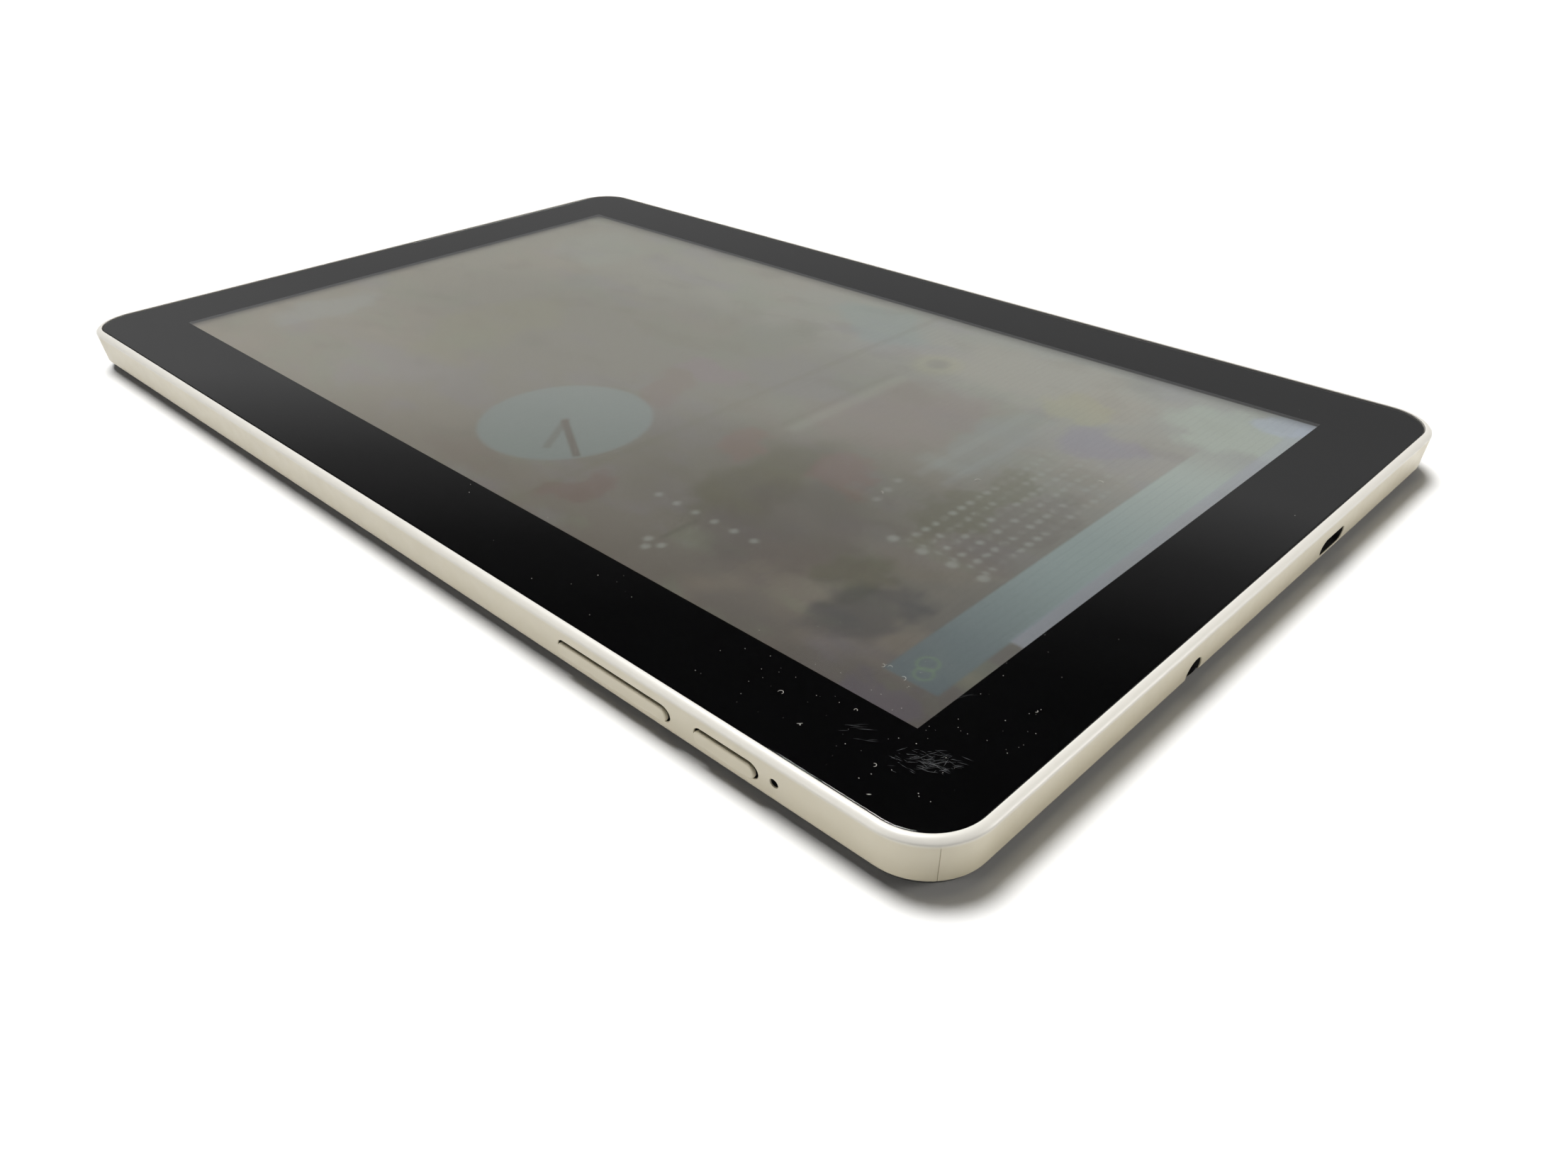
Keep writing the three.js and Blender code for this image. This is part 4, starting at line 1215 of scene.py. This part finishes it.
def glass_scuffs(material, chance):
    """A scuffed spot near the corner, a few scratches beside it, and longer ones over the border."""
    mesh = bmesh.new()
    for _ in range(110):
        along = chance.gauss(0.0, 2.1)
        across = chance.gauss(0.0, 1.1)
        place = Vector((116.9 + 0.8 * along - 0.6 * across, -67.6 + 0.6 * along + 0.8 * across, LITTER_Z))
        heading = chance.gauss(0.55, 0.45)
        width = chance.uniform(0.006, 0.02)
        add_scratch(mesh, clamp_to(place, 123, 77), chance.uniform(0.3, 1.7), heading, width)
    for _ in range(12):
        place = Vector((chance.uniform(104.5, 109.5), chance.uniform(-70.8, -68.4), LITTER_Z))
        add_scratch(mesh, place, chance.uniform(0.8, 2.4), chance.gauss(0.62, 0.12), 0.008)
    for _ in range(46):
        place = Vector((chance.uniform(60, 112), chance.uniform(-64, -44), LITTER_Z))
        heading = chance.gauss(0.9, 0.25)
        add_scratch(mesh, place, chance.uniform(0.8, 5.0), heading, chance.uniform(0.005, 0.01))
    set_up(finish_mesh(mesh, "scuffs"), material, "tablet_body", "adhesive")


# ---------------------------------------------------------------- building the tablet

# The frame's paint carries painted shade towards the foot and a painted highlight along its top edge.
frame_paint = painted("frame_paint", WHITE_PAINT, WHITE_PAINT_SHADE, rim_highlight=WHITE_PAINT_RIM_HIGHLIGHT)
# The rear cover's dark grey is painted shade. It stands for the near-black shade under the wall's foot,
# because the cover's own colour is not known.
cover_paint = painted("cover_paint", linear(44, 44, 45), linear(36, 36, 37), 0.5)
black_plastic = moulded("black_plastic", linear(24, 24, 26))
steel = pressed_metal("pressed_steel", linear(190, 192, 194))
bright_contact = pressed_metal("bright_contact", linear(214, 196, 150))
dark_trim = pressed_metal("dark_trim", linear(92, 94, 98))
pale_dust = lint("pale_dust", linear(214, 212, 204))
faint_scuff = lint("faint_scuff", linear(120, 122, 124))
board_green = circuit_board("circuit_board")
flex_amber = flexible_circuit("flex_circuit")
pouch = battery_pouch("battery_pouch")

side_frame(frame_paint, black_plastic)
rear_cover(cover_paint)
glass_slab(cover_glass("cover_glass"))
border_print(black_border("border_ink"))
side_key("volume_key", VOLUME_LOW, VOLUME_HIGH, frame_paint, black_plastic, "volume_rocker")
side_key("power_key", POWER_LOW, POWER_HIGH, frame_paint, black_plastic, "power_button")
usb_socket(steel, black_plastic, bright_contact)
headphone_socket(black_plastic, bright_contact)
rear_camera_glass(lens_glass("lens_glass"), dark_trim)
speaker_cloths(black_plastic)
litter_chance = random.Random(12)
glass_dust(pale_dust, litter_chance)
glass_fibres(pale_dust, litter_chance)
glass_scuffs(faint_scuff, litter_chance)

CARRIED_OVER = {
    "lcd_panel": lit_screen("lit_screen"),
    "touch_sensor": clear_film("clear_film"),
    "glass_adhesive": moulded("foam_tape", linear(18, 18, 20), 0.8),
    "diffuser_sheet": optical_sheet("diffuser", linear(240, 240, 236), 0.5),
    "light_guide": optical_sheet("light_guide", linear(222, 228, 230), 0.2),
    "led_strip": lamp_row("lamp_row"),
    "lcd_tray": steel,
    "mid_chassis": pressed_metal("chassis_metal", linear(172, 174, 176), 90.0),
    "side_key_board": board_green,
    "main_board": board_green,
    "battery_protection_board": board_green,
    "battery_cell_left": pouch,
    "battery_cell_right": pouch,
    "display_flex": flex_amber,
    "touch_flex": flex_amber,
    "wifi_antenna": flex_amber,
    "microphone": steel,
    "processor_shield": steel,
    "radio_shield": steel,
    "processor": moulded("chip_epoxy", linear(28, 28, 30), 0.5),
}
CARRIED_OVER.update({name: CARRIED_OVER["processor"] for name in ("memory_chip", "radio_chip", "power_chip")})
CARRIED_OVER.update({name: black_plastic for name in (
    "volume_up_switch", "volume_down_switch", "power_switch", "speaker_left", "speaker_right",
    "front_camera", "rear_camera", "battery_lead")})
CARRIED_OVER.update({name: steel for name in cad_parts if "_screw_" in name})

for node_name, node_material in CARRIED_OVER.items():
    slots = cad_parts[node_name].data.materials
    slots.clear()
    slots.append(node_material)


# ---------------------------------------------------------------- floor, light and camera


FLOOR_HALF = 30.0
SOFTBOX_SIZE = 0.6
SOFTBOX_COLOUR = (1.0, 0.97, 0.92)


def pale_floor():
    """A plain pale floor with very little gloss."""
    mesh = bmesh.new()
    bmesh.ops.create_grid(mesh, x_segments=1, y_segments=1, size=FLOOR_HALF)
    data = bpy.data.meshes.new("floor")
    mesh.to_mesh(data)
    mesh.free()
    floor = add_object("floor", data)
    shader = Shader("floor", (0.9, 0.9, 0.895), 0.6)
    shader.put("Specular IOR Level", 0.2)
    data.materials.append(shader.material)


def softbox(name, place, target, power):
    """A square soft light at place, aimed at target."""
    lamp = bpy.data.lights.new(name, "AREA")
    lamp.shape = "SQUARE"
    lamp.size = SOFTBOX_SIZE
    lamp.energy = power
    lamp.color = SOFTBOX_COLOUR
    holder = add_object(name, lamp)
    holder.location = place
    holder.rotation_euler = (Vector(target) - Vector(place)).to_track_quat("-Z", "Y").to_euler()


# The surround's brightness by height: how far up the direction points, then the grey.
SURROUND = ((0.0, 0.25), (0.20, 0.30), (0.28, 0.40), (0.34, 0.18), (0.40, 0.065), (0.45, 0.035), (1.0, 0.03))


def overhead_light():
    """A broad soft light from above and from the -X side, so the shadow falls beside the ports."""
    lamp = bpy.data.lights.new("overhead", "SUN")
    lamp.energy = 4.0
    lamp.angle = math.radians(26.0)
    holder = add_object("overhead", lamp)
    holder.rotation_euler = Vector((0.36, -0.08, -1.0)).to_track_quat("-Z", "Y").to_euler()


def studio_surround():
    """Pale low walls beyond the tablet, and dark behind the camera and overhead, as the glass shows them."""
    world = bpy.data.worlds.new("studio")
    bpy.context.scene.world = world
    world.use_nodes = True
    tree = world.node_tree
    background = tree.nodes["Background"]
    direction = tree.nodes.new("ShaderNodeTexCoord").outputs["Generated"]

    def along(axis, offset, slope):
        """How far a direction points along an axis, scaled and shifted into 0 to 1."""
        dot = tree.nodes.new("ShaderNodeVectorMath")
        dot.operation = "DOT_PRODUCT"
        tree.links.new(direction, dot.inputs[0])
        dot.inputs[1].default_value = axis
        scaled = tree.nodes.new("ShaderNodeMath")
        scaled.operation = "MULTIPLY_ADD"
        tree.links.new(dot.outputs["Value"], scaled.inputs[0])
        scaled.inputs[1].default_value = slope
        scaled.inputs[2].default_value = offset
        return scaled.outputs[0]

    def greys(value, stops):
        """Greys by value, smoothly between the stops."""
        ramp = tree.nodes.new("ShaderNodeValToRGB")
        tree.links.new(value, ramp.inputs[0])
        elements = ramp.color_ramp.elements
        while len(elements) < len(stops):
            elements.new(0.5)
        for element, (position, grey) in zip(elements, stops):
            element.position = position
            element.color = (grey, grey, grey, 1.0)
        return ramp.outputs[0]

    by_height = greys(along((0.0, -0.2, 1.0), 0.0, 1.0), SURROUND)
    beyond = greys(along((-0.7, 0.714, 0.0), 0.5, 0.5), ((0.4, 0.16), (0.62, 1.0)))
    both = tree.nodes.new("ShaderNodeMix")
    both.data_type = "RGBA"
    both.blend_type = "MULTIPLY"
    both.inputs["Factor"].default_value = 1.0
    colours = [socket for socket in both.inputs if socket.type == "RGBA"]
    tree.links.new(by_height, colours[0])
    tree.links.new(beyond, colours[1])
    result = next(output for output in both.outputs if output.type == "RGBA")
    tree.links.new(result, background.inputs["Color"])


def photo_camera():
    """The camera at the photograph's viewing angle."""
    right = Vector((0.72211, 0.69169, -0.01076))
    down = Vector((0.36867, -0.39795, -0.84007))
    look = Vector((-0.58535, 0.60266, -0.54237))
    lens = bpy.data.cameras.new("camera")
    lens.sensor_width = 36.0
    lens.lens = 27.07
    lens.clip_start = 0.01
    camera = add_object("camera", lens)
    matrix = Matrix((right, -down, -look)).transposed().to_4x4()
    matrix.translation = Vector((182.52, -160.63, GLASS_HIGH.z + 98.76)) * MM
    camera.matrix_world = matrix
    bpy.context.scene.camera = camera


pale_floor()
studio_surround()
overhead_light()
softbox("keys_side_light", (-0.8, -1.9, 0.42), (0.0, -0.08, 0.0), 7.5)
softbox("ports_side_light", (1.6, 1.3, 0.42), (0.13, 0.0, 0.0), 16.0)
photo_camera()
bpy.context.scene.view_settings.view_transform = "Standard"
